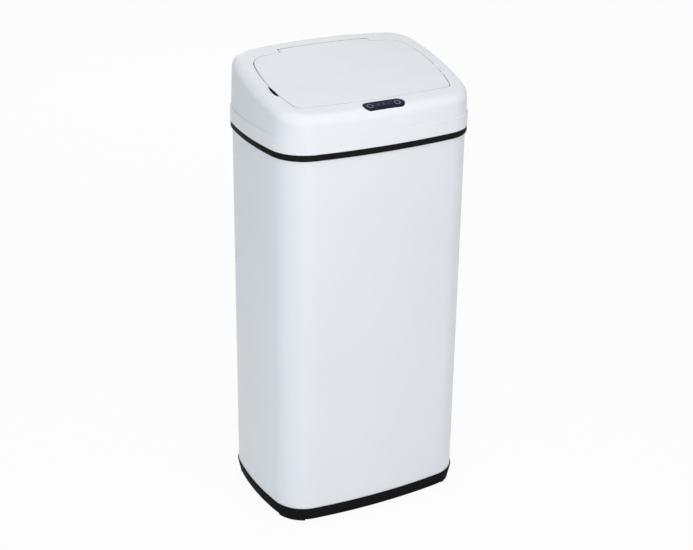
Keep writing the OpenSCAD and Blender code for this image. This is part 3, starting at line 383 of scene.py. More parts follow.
class Finish:
    """A material round one Principled shader. Scales are per metre, heights in micrometres."""

    def __init__(self, name, **sockets):
        self.material = bpy.data.materials.new(name)
        self.material.use_nodes = True
        self.tree = self.material.node_tree
        self.bsdf = self.tree.nodes["Principled BSDF"]
        for key, value in sockets.items():
            self.bsdf.inputs[key.replace("_", " ")].default_value = value
        self.where = self.node("TexCoord")["Object"]
        self.normal = None

    def node(self, kind, inputs=None, **settings):
        return add_node(self.tree, "ShaderNode" + kind, inputs, **settings)

    def place(self, stretch=(1, 1, 1)):
        return self.node("Mapping", {"Vector": self.where, "Scale": stretch})[0]

    def noise(self, scale, detail=3, rough=0.5, stretch=(1, 1, 1)):
        inputs = {"Vector": self.place(stretch), "Scale": scale, "Detail": detail,
                  "Roughness": rough}
        return self.node("TexNoise", inputs)["Fac"]

    def cells(self, scale):
        return self.node("TexVoronoi", {"Vector": self.place(), "Scale": scale},
                         feature="F1")["Distance"]

    def spread(self, value, low=0.0, high=1.0, start=0.3, end=0.7):
        inputs = {"Value": value, "From Min": start, "From Max": end, "To Min": low, "To Max": high}
        return self.node("MapRange", inputs)[0]

    def drift(self, scale, detail, a, b):
        """One colour that changes to another with a noise."""
        return self.blend(self.spread(self.noise(scale, detail)), a, b)

    def maths(self, operation, a, b=0.0):
        return self.node("Math", {0: a, 1: b}, operation=operation)[0]

    def blend(self, factor, a, b):
        a, b = [c if isinstance(c, bpy.types.NodeSocket) else (*c, 1) for c in (a, b)]
        return self.node("Mix", {0: factor, 6: a, 7: b}, data_type="RGBA")[2]

    def bump(self, value, height, strength=1.0):
        inputs = {"Height": value, "Distance": height * 1e-6, "Strength": strength}
        if self.normal:
            inputs["Normal"] = self.normal
        self.normal = self.node("Bump", inputs)[0]
        return self

    def relief(self, scale, height, rough=0.5):
        return self.bump(self.noise(scale, 2, rough), height)

    def done(self, colour, *rough):
        """Links it all up. rough is a noise, and the least and the most roughness."""
        links = {"Base Color": colour, "Normal": self.normal}
        if rough:
            links["Roughness"] = self.spread(self.noise(*rough[:-2]), *rough[-2:])
        for key, value in links.items():
            self.tree.links.new(value, self.bsdf.inputs[key])
        return self.material


def powder_coat():
    f = Finish("powder_coat", Coat_Weight=0.25, Coat_Roughness=0.28)
    colour = f.drift(7, 2, WHITE_STEEL, toned(WHITE_STEEL, 0.975))
    # tiny darker dots: painted shade of pinholes in the coat, with no hollow in the surface
    pit_shade_dots = f.spread(f.cells(900), 0, 1, 0.02, 0.12)
    colour = f.blend(f.spread(pit_shade_dots, 0.10, 0, 0, 1), colour, toned(WHITE_STEEL, 0.86))
    f.relief(420, 60, 0.45).relief(1900, 12)
    f.bump(f.noise(5, 1, 0.4, (1, 1, 0.4)), 800, 0.5)
    return f.done(colour, 60, 4, 0.36, 0.46)


def moulded_white(name, tone=1.0):
    """White moulding with faint flow marks, and slightly yellower where hands touch it."""
    f = Finish(name, Specular_IOR_Level=0.25)
    base = toned(WHITE_COVER, tone)
    flow = f.spread(f.noise(14, 3, 0.6, (1, 2.5, 1)))
    colour = f.blend(flow, base, toned(base, (0.985, 0.985, 0.98)))
    handling = f.spread(f.noise(38, 5, 0.65), 0, 0.35, 0.55, 0.8)
    colour = f.blend(handling, colour, toned(base, (0.975, 0.97, 0.955)))
    f.relief(1500, 14, 0.6).relief(240, 30, 0.4)
    return f.done(colour, 85, 4, 0.6, 0.30, 0.42)


def moulded_black(name, base=(0.0085, 0.0087, 0.0086), scuffs=0.5, gloss=0.02):
    """Black moulding with a fine spark-eroded grain, rubbed paler in places."""
    f = Finish(name, Specular_IOR_Level=gloss)
    grain = f.noise(1700, 3, 0.65)
    rub = f.maths("MULTIPLY", f.spread(f.noise(26, 6, 0.7), 0, scuffs, 0.52, 0.78),
                  f.spread(f.noise(420, 3, 0.7, (1, 1, 5)), 0, 1, 0.5, 0.62))
    colour = f.blend(f.spread(grain), base, toned(base, 1.5))
    colour = f.blend(rub, colour, (0.085, 0.086, 0.087))
    f.bump(grain, 50).relief(300, 30)
    return f.done(colour, 120, 4, 0.40, 0.56)


def rubber():
    f = Finish("soft_rubber", Specular_IOR_Level=0.3)
    dust = f.spread(f.noise(160, 5, 0.7), 0, 0.4, 0.45, 0.75)
    colour = f.blend(dust, (0.022, 0.022, 0.021), (0.10, 0.098, 0.092))
    return f.relief(2200, 60).done(colour, 300, 3, 0.7, 0.88)


def turned_metal(name, base, axis=0, rough=(0.22, 0.36), streak=2600):
    """Bright metal with fine marks round one axis."""
    stretch = [1.0, 1, 1.0]
    stretch[axis] = 0.04
    f = Finish(name, Metallic=1.0)
    marks = f.noise(streak, 3, 0.6, [1.0 / s for s in stretch])
    tarnish = f.spread(f.noise(95, 5, 0.6), 0, 0.6, 0.5, 0.8)
    colour = f.blend(f.spread(marks), base, toned(base, 0.86))
    colour = f.blend(tarnish, colour, toned(base, 0.72))
    return f.bump(marks, 12).done(colour, 500, 3, *rough)


def window_gloss():
    """Dark violet infrared-transparent polycarbonate under a hard clear coat."""
    f = Finish("window_gloss", Coat_Weight=0.08, Coat_Roughness=0.04, Specular_IOR_Level=0.03)
    depth = f.spread(f.noise(55, 3, 0.5, (1, 3, 1)))
    colour = f.blend(depth, (0.0130, 0.0105, 0.0290), (0.0165, 0.0132, 0.0370))
    specks = f.spread(f.cells(700), 0.5, 0, 0, 0.06)
    colour = f.blend(specks, colour, (0.05, 0.045, 0.09))
    return f.relief(130, 20).done(colour, 240, 4, 0.10, 0.2)


def plain_finish(name, colours, grain, relief, rough, **sockets):
    """Two close colours in a fine grain, with a shallow relief.

    grain is the scale and detail of the colours' noise, relief the scale and height of the bump,
    and rough the scale, least and most of the roughness.
    """
    f = Finish(name, **sockets)
    return f.relief(*relief).done(f.drift(*grain, *colours), *rough)


def wire_sleeve(name, base):
    return plain_finish(name, (base, toned(base, 0.75)), (500, 4), (1800, 20),
                        (400, 0.32, 0.46), Coat_Weight=0.2, Coat_Roughness=0.2)


def acetal():
    f = Finish("natural_acetal", Subsurface_Weight=0.12, Subsurface_Scale=0.002)
    colour = f.drift(180, 4, (0.78, 0.76, 0.68), (0.70, 0.67, 0.57))
    grease = f.spread(f.noise(330, 4, 0.6), 0, 0.5, 0.55, 0.8)
    colour = f.blend(grease, colour, (0.55, 0.50, 0.38))
    return f.relief(1500, 20).done(colour, 330, 4, 0.25, 0.5)


def circuit_board():
    """Solder mask over copper tracks, with tinned pads."""
    f = Finish("circuit_board", Coat_Weight=0.5, Coat_Roughness=0.15)
    bricks = {"Vector": f.where, "Scale": 210, "Mortar Size": 0.09, "Mortar Smooth": 0.2,
              "Brick Width": 0.9, "Row Height": 0.4}
    lines = f.node("TexBrick", bricks)["Fac"]
    pads = f.spread(f.cells(330), 1, 0, 0.10, 0.14)
    colour = f.blend(lines, (0.010, 0.085, 0.040), (0.025, 0.16, 0.07))
    colour = f.blend(pads, colour, (0.48, 0.47, 0.44))
    f.bump(lines, 40).bump(pads, 80)
    return f.done(colour, 400, 3, 0.25, 0.4)


def cell_sleeve():
    """Plain shrunk sleeves with fine creases, and a band of another colour near the terminals."""
    f = Finish("cell_sleeve", Metallic=0.35, Coat_Weight=0.7, Coat_Roughness=0.12)
    x = f.maths("ABSOLUTE", f.node("SeparateXYZ", {0: f.where})["X"])
    from_band = f.maths("ABSOLUTE", f.maths("SUBTRACT", x, 0.044))
    band = f.spread(from_band, 1, 0, 0.006, 0.0065)
    colour = f.drift(150, 3, (0.030, 0.050, 0.16), (0.045, 0.070, 0.20))
    colour = f.blend(band, colour, (0.45, 0.30, 0.12))
    creases = f.noise(260, 4, 0.6, (0.2, 1, 1))
    return f.bump(creases, 80).done(colour, 300, 3, 0.22, 0.36)


def paper_floor():
    """Pale paper that is nearly white to the camera and in reflections, and keeps the shadow."""
    f = Finish("paper_floor", Specular_IOR_Level=0.1, Roughness=0.9)
    fibre = f.noise(900, 5, 0.7)
    colour = f.blend(f.spread(fibre), (0.90, 0.90, 0.90), (0.88, 0.88, 0.88))
    f.bump(fibre, 40).done(colour)
    white = f.node("Emission", {"Color": (1, 1, 1, 1), "Strength": 1.0})[0]
    lift = f.maths("MULTIPLY", seen_directly(f.tree), FLOOR_LIFT)
    mix = f.node("MixShader", {0: lift, 1: f.bsdf.outputs[0], 2: white})[0]
    f.tree.links.new(mix, f.tree.nodes["Material Output"].inputs["Surface"])
    return f.material


# ---- the opening in the cover and the flap in it, measured along rays from one centre

BACK_ARC_R = bow_r(FLAP_HALF_W, FLAP_BOW)
FLAP_P, FLAP_N = flap_loop(3)
FINE_P, FINE_N = body_loop(4)
SCOOP_R = bow_r(SCOOP_L / 2, SCOOP_D)
SCOOP_X = FLAP_HALF_W + SCOOP_D - SCOOP_R


def bearing(points):
    d = np.asarray(points, float) - CENTRE
    return np.degrees(np.arctan2(d[:, 1], d[:, 0])) % 360


def along_rays(theta, loop, values=None):
    """The loop's distance, or other values of its points, at each bearing."""
    a = bearing(loop)
    order = np.argsort(a)
    if values is None:
        values = norm(loop - CENTRE, axis=1)
    return np.interp(theta, a[order], values[order], period=360)


def tongue_line(offset):
    """The tongue's sides and back edge, with rounded corners.

    Outside the tongue, where it is the cover's edge, the corners have more room for the open flap.
    """
    room = CORNER_ROOM if offset > 0 else 0.0
    half = TONGUE_HALF_W + offset
    middle = TONGUE_BACK + offset - BACK_ARC_R
    x = np.linspace(half - 4.5, 4.5 - half, 40)
    back = middle + np.sqrt(BACK_ARC_R ** 2 - x ** 2) + room * (x / half) ** 4
    corner = middle + sqrt(BACK_ARC_R ** 2 - half ** 2) + room
    side = np.linspace(TONGUE_FRONT, corner - 3, 24)
    corners = [*((half, y, 0) for y in side), (half, corner, TONGUE_CORNER), *zip(x, back, 0 * x),
               (-half, corner, TONGUE_CORNER), *((-half, y, 0) for y in side[::-1])]
    return np.array(fillet(corners, 5))


def tongue_root(offset, middle):
    """Points close together where the tongue's sides leave the flap's outline."""
    return [[s * (TONGUE_HALF_W + offset), y] for s in (-1, 1)
            for y in np.linspace(middle - 1.4, middle + 1.4, 9)]


def tongue_reach(theta, offset):
    line = tongue_line(offset)
    a = bearing(line)
    return np.interp(theta, a, norm(line - CENTRE, axis=1), left=0, right=0)


def scoop_reach(theta, grow):
    far = np.zeros(len(theta))
    d = rays(theta)
    for side in (-1, 1):
        to = np.array([side * SCOOP_X, SCOOP_Y]) - CENTRE
        b = d @ to
        inside = b * b - to @ to + (SCOOP_R + grow) ** 2
        hit = (inside > 0) & (b > 0)
        far = np.maximum(far, np.where(hit, b + np.sqrt(np.maximum(inside, 0)), 0))
    return far


def flap_reach(theta, offset):
    line = along_rays(theta, FLAP_P + offset * FLAP_N)
    return np.maximum(line, tongue_reach(theta, offset))


def opening_reach(theta, offset):
    return np.maximum(flap_reach(theta, offset), scoop_reach(theta, offset - GAP))


def merge_bearings(*sets, gap=0.12):
    """Bearings of all the sets in order, the earlier sets winning where two come close."""
    kept = np.array([])
    for s in sets:
        s = np.asarray(s) % 360
        if len(kept):
            away = np.abs((s[:, None] - kept[None, :] + 180) % 360 - 180).min(1)
            s = s[away > gap]
        kept = np.concatenate([kept, s])
    return np.sort(kept)


def scoop_bearings():
    ends = [[s * (FLAP_HALF_W - 1 + SCOOP_D * k),
             SCOOP_Y + side * SCOOP_L / 2 * sqrt(max(0, 1 - k * k))]
            for s in (-1, 1) for side in (-1, 1) for k in np.linspace(0, 1, 14)]
    return bearing(ends)


def pairs_along(theta, loop, pairs):
    """Two values for each point of a loop, at each bearing."""
    return np.column_stack([along_rays(theta, loop, pairs[:, i]) for i in (0, 1)])


FLAP_COARSE = flap_loop(1)[0]
TONGUE_HOLE = np.vstack([tongue_root(GAP, 79), tongue_line(GAP)])
THETA = merge_bearings(bearing(TONGUE_HOLE), scoop_bearings(), bearing(FLAP_COARSE),
                       bearing(BODY_P))
RAYS = rays(THETA)
BASE_AT = pairs_along(THETA, FINE_P, FINE_P)
NORMAL_AT = pairs_along(THETA, FINE_P, FINE_N)


def at_reach(distance, out=RAYS):
    return CENTRE + out * distance[:, None]


def below_deck(plan, fall=0.0):
    return row(plan, deck(*plan.T) - fall)


def wall_proud(z):
    """How far the cover's wall stands out from the body's outline."""
    return COVER_PROUD - (z - COVER_Z) * DRAFT


def shoulder(turn, inset=0.0):
    """A ring of the rounded shoulder, at an angle from 0 on the wall to 90 on the deck."""
    start = BASE_AT + COVER_PROUD * NORMAL_AT
    proud = wall_proud(deck(*start.T) - SHOULDER_R)
    r, (inward, down) = SHOULDER_R - inset, bend(turn)[0]
    plan = BASE_AT + (proud - inset - r * inward)[:, None] * NORMAL_AT
    return below_deck(plan, inset + r * down)


def skin(x, y):
    """Height of the cover's outer surface near the middle of its front."""
    x, y = np.asarray(x, float), np.asarray(y, float)
    front_r = bow_r(HALF_W, FRONT_BOW)
    middle = np.array([0, front_r - HALF_D])
    to = np.stack([x, y], -1) - middle
    away = norm(to, axis=-1)
    base = to / away[..., None] * (front_r + COVER_PROUD) + middle
    proud = wall_proud(deck(base[..., 0], base[..., 1]) - SHOULDER_R)
    inward = proud - (away - front_r)
    t = np.arccos(np.clip(1 - inward / SHOULDER_R, -1, 1))
    rounded = deck(x, y) - SHOULDER_R * (1 - np.sin(t))
    return np.where(inward < SHOULDER_R, rounded, deck(x, y))


def cover_underside(x, y):
    """Hollowed behind the tongue, where the tongue turns down."""
    r = hypot(TONGUE_BACK - GAP - HINGE_Y, deck(0, TONGUE_BACK) - HINGE_Z) + 0.3
    sweep = HINGE_Z + np.sqrt(np.maximum(r * r - (y - HINGE_Y) ** 2, 0))
    near = (np.abs(x) < TONGUE_HALF_W + GAP) & (np.abs(y - HINGE_Y) < r) & (y > HINGE_Y)
    plain = deck(x, y) - LID_WALL
    return np.where(near, np.maximum(plain, np.minimum(deck(x, y) - 0.6, sweep)), plain)


def cover_rows():
    """Rings up the cover's wall, over the deck, down into the opening and back under the skin."""
    rows = [row(BASE_AT + (COVER_PROUD - d) * NORMAL_AT, COVER_Z + h)
            for d, h in ((0.8, 0), (0.35, 0.12), (0.08, 0.45))]
    foot, top = COVER_Z + 0.6, shoulder(0)[:, 2]
    for k in (0.02, 0.3, 0.6, 0.9):
        z = foot + k * (top - foot)
        rows.append(row(BASE_AT + wall_proud(z)[:, None] * NORMAL_AT, z))
    rows += [shoulder(turn) for turn in range(0, 91, 9)]

    # the deck, from the shoulder to the rounded edge of the opening
    inner = rows[-1][:, :2]
    line, hole = flap_reach(THETA, GAP), opening_reach(THETA, GAP)
    dish = np.clip((hole - line) / SLIT, 0, 1)
    rim = at_reach(hole)
    thick = deck(*rim.T) - cover_underside(*rim.T)
    edge = np.minimum(0.45 + 0.35 * dish, 0.45 * thick)
    outer = at_reach(hole + edge)
    rows += [below_deck(inner + k * (outer - inner)) for k in (0.1, 0.28, 0.5, 0.72, 0.9, 0.985)]
    for down, outward in bend(0, 22, 45, 68):
        rows.append(below_deck(at_reach(hole + edge * outward), edge * down))

    # a plain wall, but at the scoops a dish that falls to a slit beside the flap
    slit = line + SLIT * np.clip((hole - line) / SCOOP_D, 0, 1) ** 1.6
    bottom = (1 - dish) * thick + dish * SCOOP_FALL
    for t in (0, 0.2, 0.4, 0.6, 0.8, 1):
        fall = edge + (bottom - edge) * (1 - (1 - t) ** 1.5)
        rows.append(below_deck(at_reach(hole + t * (slit - hole)), fall))
    for d, fall in ((0.15, 0.5), (0.6, 0.9), (1.4, 1.1)):
        rows.append(below_deck(at_reach(slit + d * dish), bottom + fall * dish))

    # the underside, out to the shoulder and down inside the wall
    limit = norm(inner - CENTRE, axis=1)
    for d in (0, 0.7, 1.5, 2.6, 4):
        plan = at_reach(hole + d + 0.9 * dish)
        clear = limit > norm(plan - CENTRE, axis=1) + 0.3
        plan = np.where(clear[:, None], plan, inner - 0.2 * RAYS)
        rows.append(row(plan, cover_underside(*plan.T)))
    rows += [shoulder(turn, LID_WALL) for turn in range(90, -1, -15)]
    rows.append(row(BASE_AT + (COVER_PROUD - LID_WALL) * NORMAL_AT, COVER_Z))
    return rows


def stadium(length, width, n=20):
    """A loop of half circles joined by straight sides, round the window's middle."""
    r, half = width / 2, length / 2 - width / 2
    right = np.array([half, 0]) + r * rays(np.linspace(-90, 90, n))
    side = np.linspace(1, -1, 14)[1:-1, None] * [half, 0]
    return np.vstack([right, side + [0, r], -right, side[::-1] - [0, r]]) + [0, WINDOW_Y]


# ---- pieces of the body

def body_sheet():
    """The coated sheet with its folded hem, and the lap seam down the back."""
    section = fillet([(0, 18, 0.3), (0, 610, 0.7), (-1.8, 610, 0.4), (-1.8, 601, 0.4),
                      (-0.9, 600.4, 0.5), (-0.8, 18, 0.3)])
    sheet = Shell().section(section).thing("coated_sheet")
    finish(sheet, "body", POWDER, ["body_shell"])
    back_r = bow_r(HALF_W, FRONT_BOW)

    def back_line(x, offset):
        return np.column_stack([x, HALF_D - back_r + np.sqrt((back_r + offset) ** 2 - x ** 2)])

    x = np.linspace(-4, 4, 9)
    rise = np.array([0.0, 0.55, 0.8, 0.8, 0.8, 0.8, 0.8, 0.55, 0.0])
    lap = Shell().prism(np.vstack([back_line(x, rise)[::-1], back_line(x, -0.4)]), 24.3, 606.2)
    finish(lap.thing("lap_seam"), "body", POWDER, ["body_shell"], 50)


def rib(shell, start, end, outline):
    """A straight rib of the base, as far as it lies inside the outline."""
    start, end = np.array(start, float), np.array(end, float)
    line = start + np.linspace(0, 1, 400)[:, None] * (end - start)
    reach = along_rays(np.degrees(np.arctan2(line[:, 1], line[:, 0])) % 360, outline,
                       norm(outline, axis=1))
    inside = line[norm(line, axis=1) < reach]
    way = (end - start) / norm(end - start)
    side = RIB_HALF_T * np.array([way[1], -way[0]])
    a, b = inside[0], inside[-1]
    shell.prism([a - side, a + side, b + side, b - side], 6, 13)


def base_moulding():
    section = fillet([(-4.9, 2.2, 0.5), (-2.6, 2.2, 0.9), (1.4, 21, 2.5), (1.7, 22.8, 1),
                      (1.1, 24, 0.8), (0.3, 24, 0.3), (0.3, 18, 0.3), (-1.1, 18, 0.3),
                      (-1.1, 42, 0.7), (-3.5, 42, 0.7), (-3.5, 13.25, 0.5)], 5)
    shell = Shell().section(section)
    shell.prism(body_line(-2.3), 12, 14.5)
    outline = body_line(-2.9)
    for x in RIB_STEP * np.arange(-3, 4):
        rib(shell, (x, -150), (x, 150), outline)
    for y in RIB_STEP * np.arange(-2, 3):
        rib(shell, (-200, y), (200, y), outline)
    foot = fillet([(17.3, 1.5, 0.4), (24, 1.5, 1.2), (24, 13, 0), (2, 13, 0), (2, 2.5, 0),
                   (17.3, 2.5, 0.3)])
    for x, y in FEET:
        shell.turned(foot, (x, y, 0), 64)
        corner_block(shell, x, y, 1.6, 2.6, -2.7, 0.3)
    finish(shell.thing("base_moulding"), "body", BASE_BLACK, ["base_tray"])


def corner_block(shell, x, y, low, high, offset, edge):
    """A block under the skirt that follows a corner of the body, its lower edge rounded."""
    centre = np.copysign(CORNER_CENTRE, (x, y))
    middle = degrees(atan2(y, x)) + copysign(8, x * y)
    out, back = rays(middle + np.linspace(-27, 27, 25)), rays(middle + np.linspace(26, -26, 25))
    r = CORNER_R + offset
    rows = []
    for inset, z in ((edge, low), (0.3 * edge, low + 0.3 * edge), (0, low + edge), (0, high)):
        plan = np.vstack([(r - inset) * out, (r - BLOCK_DEPTH + inset) * back])
        rows.append(row(centre + plan, z))
    shell.capped(rows)


def rubber_feet():
    """Round pads with a turned rim and three grooves in the tread, and the blocks beside them."""
    profile = [(0, 0.35)]
    for r in (4, 8, 12):
        profile += [(r - 1.4, 0.35), (r - 1.1, 0), (r + 1.1, 0), (r + 1.4, 0.35)]
    profile += [(14.2, 0.35), (14.5, 0), (16.2, 0), (16.8, 0.25), (17, 0.8), (17, 2.2),
                (16.6, 2.5), (0, 2.5)]
    shell = Shell()
    for x, y in FEET:
        shell.turned(profile, (x, y, 0), 64)
        corner_block(shell, x, y, 0, 1.6, -2.8, 0.5)
    finish(shell.thing("rubber_feet"), "body", RUBBER, ["foot_pads"])


def bag_band():
    section = fillet([(0.5, 606.5, 0.3), (1.6, 606.5, 0.6), (2.45, 607.5, 1), (2.8, 609.3, 1.6),
                      (2.8, 615.3, 1), (2.3, 616.5, 0.4), (-1.2, 616.5, 0.3),
                      (-1.2, 612.2, 0.3), (-4.5, 612.2, 0.6), (-4.5, 585, 0.5), (-3.1, 585, 1),
                      (-2.3, 589, 1.5), (-2.3, 610, 0.4), (0.5, 610, 0.4)], 5)
    band = Shell().section(section).thing("bag_band")
    finish(band, "bag_ring", BLACK, ["bag_ring"])


# ---- pieces of the lid

def collar_moulding():
    """The ring under the cover, its skirt inside the bag ring, and its floor with the posts."""
    section = fillet([(0.6, 616.5, 0.3), (2.7, 616.5, 0.5), (3.1, 617.3, 0.6), (3.3, 638.3, 0.5),
                      (3.1, 639, 0.3), (2.6, 639.1, 0.3), (1.2, 638.5, 0.4), (-0.8, 638.5, 0.3),
                      (-0.8, 645, 0.4), (-2.6, 645, 0.4), (-2.6, 637, 0.6), (0.6, 634, 0.6)], 5)
    shell = Shell().section(section)
    shell.section([(-5.2, 599.1), (-5.5, 598.5), (-6.9, 598.5), (-7.2, 599.1), (-7.2, 620),
                   (-5.2, 620)])
    hole = fillet([(124, -83, 19), (124, 61, 19), (-124, 61, 19), (-124, -83, 19)], 10)
    theta = merge_bearings(bearing(hole), bearing(BODY_P))
    inner = at_reach(along_rays(theta, subdivided(np.array(hole))), rays(theta))
    rim = FINE_P + 1.1 * FINE_N
    outer = pairs_along(theta, rim, rim)
    shell.rings([row(outer, 619), row(outer, 621.5), row(inner, 621.5), row(inner, 619)])
    x, y, _ = box_mm("control_board")[0]
    for dx, dy in CONTROL_POSTS:
        shell.turned([(1.2, 621), (2.5, 621), (2.5, 628.1), (2.2, 628.4), (1.2, 628.4)],
                     (x + dx, y + dy, 0), 24)
    finish(shell.thing("collar_moulding"), "lid_unit", COLLAR_WHITE, ["lid_collar"])


def subdivided(loop, n=40):
    """More points along the straight sides of a closed loop."""
    ends = np.roll(loop, -1, 0)
    k = np.linspace(0, 1, n, endpoint=False)[:, None, None]
    return (loop + k * (ends - loop)).transpose(1, 0, 2).reshape(-1, 2)


def switch_place():
    """The power switch's middle on the rear wall, turned with the bow and tilted with the draft."""
    back_r = bow_r(HALF_W, FRONT_BOW)
    turn = -asin(SWITCH_X / back_r)
    y = HALF_D + wall_proud(SWITCH_Z) - back_r * (1 - cos(turn))
    return (Matrix.Translation((SWITCH_X, y, SWITCH_Z)) @ Matrix.Rotation(turn, 4, "Z")
            @ Matrix.Rotation(radians(WALL_TILT), 4, "X"))


def post(r, low, high, inset=0.3):
    """The profile of a screw post that hangs down, its lower edge broken."""
    return [(1.1, low), (r - inset, low), (r, low + 0.3), (r, high), (1.1, high)]


def cover_moulding():
    thing = Shell().rings(cover_rows()).thing("cover_moulding")
    window = Shell().prism(stadium(WINDOW_L, WINDOW_W), 645, 760)
    bay = Shell().prism(rectangle(56, 15), 650, 688, (0, HALF_D, 0))
    switch = Shell().prism(rectangle(6.5, 15), -10, 10, switch_place())
    cut(thing, window, bay, switch)
    finish(thing, "lid_unit", COVER_WHITE, ["lid_cover"], 30)
    posts = Shell()
    for x, y in [(s * x, y) for x, y in COVER_POSTS for s in (-1, 1)]:
        near_front = abs(x) < 100 and y < 0
        top = min(deck(x, y), skin(x, y)) if near_front else deck(x, y)
        posts.turned(post(4, 621.5, top - LID_WALL + 0.4), (x, y, 0))
    lug = [*(0.9 * rays(np.arange(0, 181, 15))), (-0.9, -2.6), (0.9, -2.6)]
    along_x = Matrix.Rotation(pi / 2, 4, "Z") @ Matrix.Rotation(pi / 2, 4, "X")
    for s in (-1, 1):
        top = skin(s * SENSOR_POST_X, WINDOW_Y) - LID_WALL + 0.4
        posts.turned(post(3, BOARD_TOP, top, 0.2), (s * SENSOR_POST_X, WINDOW_Y, 0))
        at = Matrix.Translation((s * DOOR_HINGE_X, DOOR_HINGE_Y, DOOR_HINGE_Z)) @ along_x
        posts.prism(lug, -1.5, 1.5, at)
    finish(posts.thing("cover_posts"), "lid_unit", COVER_WHITE, ["lid_cover"])


# ---- the flap

def flap_underside(x, y):
    """Hollowed beside the tongue, where it turns over the cover's edge, and thin at the scoops."""
    sweep = HINGE_Z + np.sqrt(np.maximum(HINGE_SWEEP ** 2 - (y - HINGE_Y) ** 2, 0))
    beside = (np.abs(x) > TONGUE_HALF_W - GAP - 0.01) & (np.abs(y - HINGE_Y) < HINGE_SWEEP)
    grip = np.clip(1.4 - np.hypot((y - SCOOP_Y) / 13, (np.abs(x) - FLAP_HALF_W) / 7), 0, 1)
    plain = deck(x, y) - FLAP_T + 1.7 * grip
    return np.where(beside, np.maximum(plain, np.minimum(sweep, deck(x, y) - 0.7)), plain)


def flap_moulding():
    theta = merge_bearings(bearing(tongue_line(-GAP)), bearing(tongue_root(-GAP, 77)),
                           bearing(FLAP_COARSE))
    out = rays(theta)
    far = flap_reach(theta, -GAP)
    rim = at_reach(far, out)
    thick = deck(*rim.T) - flap_underside(*rim.T)
    edge = np.minimum(0.5, 0.4 * thick)
    top = [below_deck(at_reach(k * (far - edge), out))
           for k in (0.12, 0.26, 0.4, 0.54, 0.68, 0.8, 0.88, 0.94, 0.975, 0.995)]
    for inward, down in bend(90, 68, 45, 22, 0):
        top.append(below_deck(at_reach(far - edge * inward, out), edge * down))
    low = [k * far for k in (0.3, 0.6, 0.85)] + [far - d for d in (6, 4, 2.6, 1.5, 0.7, 0.25)]
    low = [at_reach(distance, out) for distance in low]
    low = [row(plan, flap_underside(*plan.T)) for plan in low]
    low.append(row(rim, flap_underside(*rim.T) + np.minimum(0.25, 0.25 * thick)))
    middle = deck(*CENTRE)
    shell = Shell().domed(low + top[::-1], [*CENTRE, middle - FLAP_T], [*CENTRE, middle])
    finish(shell.thing("flap_moulding"), "flap", FLAP_WHITE, ["flap_cover"], 30)
    bosses = Shell()
    tilt = Matrix.Rotation(radians(DECK_TILT), 4, "X")
    for x in (-FLAP_POST_X, FLAP_POST_X):
        for y in FLAP_POSTS_Y:
            bosses.turned(post(3.5, -7.3, -2.2), Matrix.Translation((x, y, deck(x, y))) @ tilt)
    finish(bosses.thing("flap_bosses"), "flap", FLAP_WHITE, ["flap_cover"])


# ---- the sensor window and its buttons

def window_lens():
    """The lens with its flange behind the cover, its rounded rim and the holes of the keys."""
    rim, flange = WINDOW_W / 2 - 0.3, WINDOW_W / 2 + 2
    seat, back = LID_WALL + 0.3, LID_WALL + 1.5

    def loop(h, fall):
        plan = stadium(WINDOW_L - WINDOW_W + 2 * h, 2 * h)
        return row(plan, skin(*plan.T) - fall)

    rows = [loop(h, back) for h in (0.4, 4, 8, flange - 0.1)]
    rows += [loop(flange, back - 0.2), loop(flange, seat + 0.1), loop(rim, seat), loop(rim, 1.2)]
    for inward, down in bend(0, 30, 60, 90):
        rows.append(loop(rim - 0.45 * inward, 0.3 + 0.45 * down))
    rows += [loop(h, 0.3) for h in (8, 6.4, 4.8, 3.2, 1.6, 0.4)]
    thing = Shell().capped(rows).thing("window_lens")
    hole = [(0, 640), (BUTTON_R + 0.2, 640), (BUTTON_R + 0.2, 740), (0, 740)]
    cut(thing, *(Shell().turned(hole, (s * BUTTON_X, WINDOW_Y, 0), 64) for s in (-1, 1)))
    finish(thing, "lid_unit", WINDOW, ["sensor_window"], 30)


def window_eyes():
    """The faint round marks behind the window, over the infrared pair and the lamp."""
    shell = Shell()
    for x, r in ((-9, 2.1), (0, 2.1), (8, 1.2)):
        shell.capped([disc_row(x, k, fall) for k, fall in (
            (0.2, 0.4), (r, 0.4), (r + 0.06, 0.33), (r, 0.285), (0.7 * r, 0.29), (0.2, 0.295))])
    finish(shell.thing("window_eyes"), "lid_unit", EYE, ["sensor_window"])


def disc_row(x, r, fall):
    """A circle in the window, some way below its surface."""
    plan = circle(x, WINDOW_Y, r)
    return row(plan, skin(*plan.T) - fall)


def button_cap(side, name):
    """A round key, flush with the window, with a pale ring let into its top and a dished middle."""
    x = side * BUTTON_X
    foot, flange = box_mm(name)[0][2], BUTTON_R + 1.2
    rows = [row(circle(x, WINDOW_Y, r), foot + h) for r, h in (
        (2, 0), (flange - 0.1, 0), (flange, 0.15), (flange, 1.05), (BUTTON_R, 1.2))]
    rows.append(disc_row(x, BUTTON_R, 0.75))
    rows += [disc_row(x, BUTTON_R - 0.3 * inward, 0.32 + 0.3 * down)
             for inward, down in bend(20, 45, 70, 90)]
    rows += [disc_row(x, r, fall) for r, fall in (
        (5.2, 0.32), (5.1, 0.55), (3.6, 0.55), (3.5, 0.34), (2.9, 0.38), (2.1, 0.46), (1.2, 0.52),
        (0.4, 0.54))]
    finish(Shell().capped(rows).thing(f"{name}_cap"), name, WINDOW, [name], 30)
    ring = Shell().rings([disc_row(x, r, fall) for r, fall in (
        (3.7, 0.6), (5, 0.6), (5.08, 0.5), (5.02, 0.36), (4.8, 0.31), (3.9, 0.31), (3.68, 0.36),
        (3.62, 0.5))])
    finish(ring.thing(f"{name}_ring"), name, KEY_RING, [name], 40)


# ---- the wires inside the lid

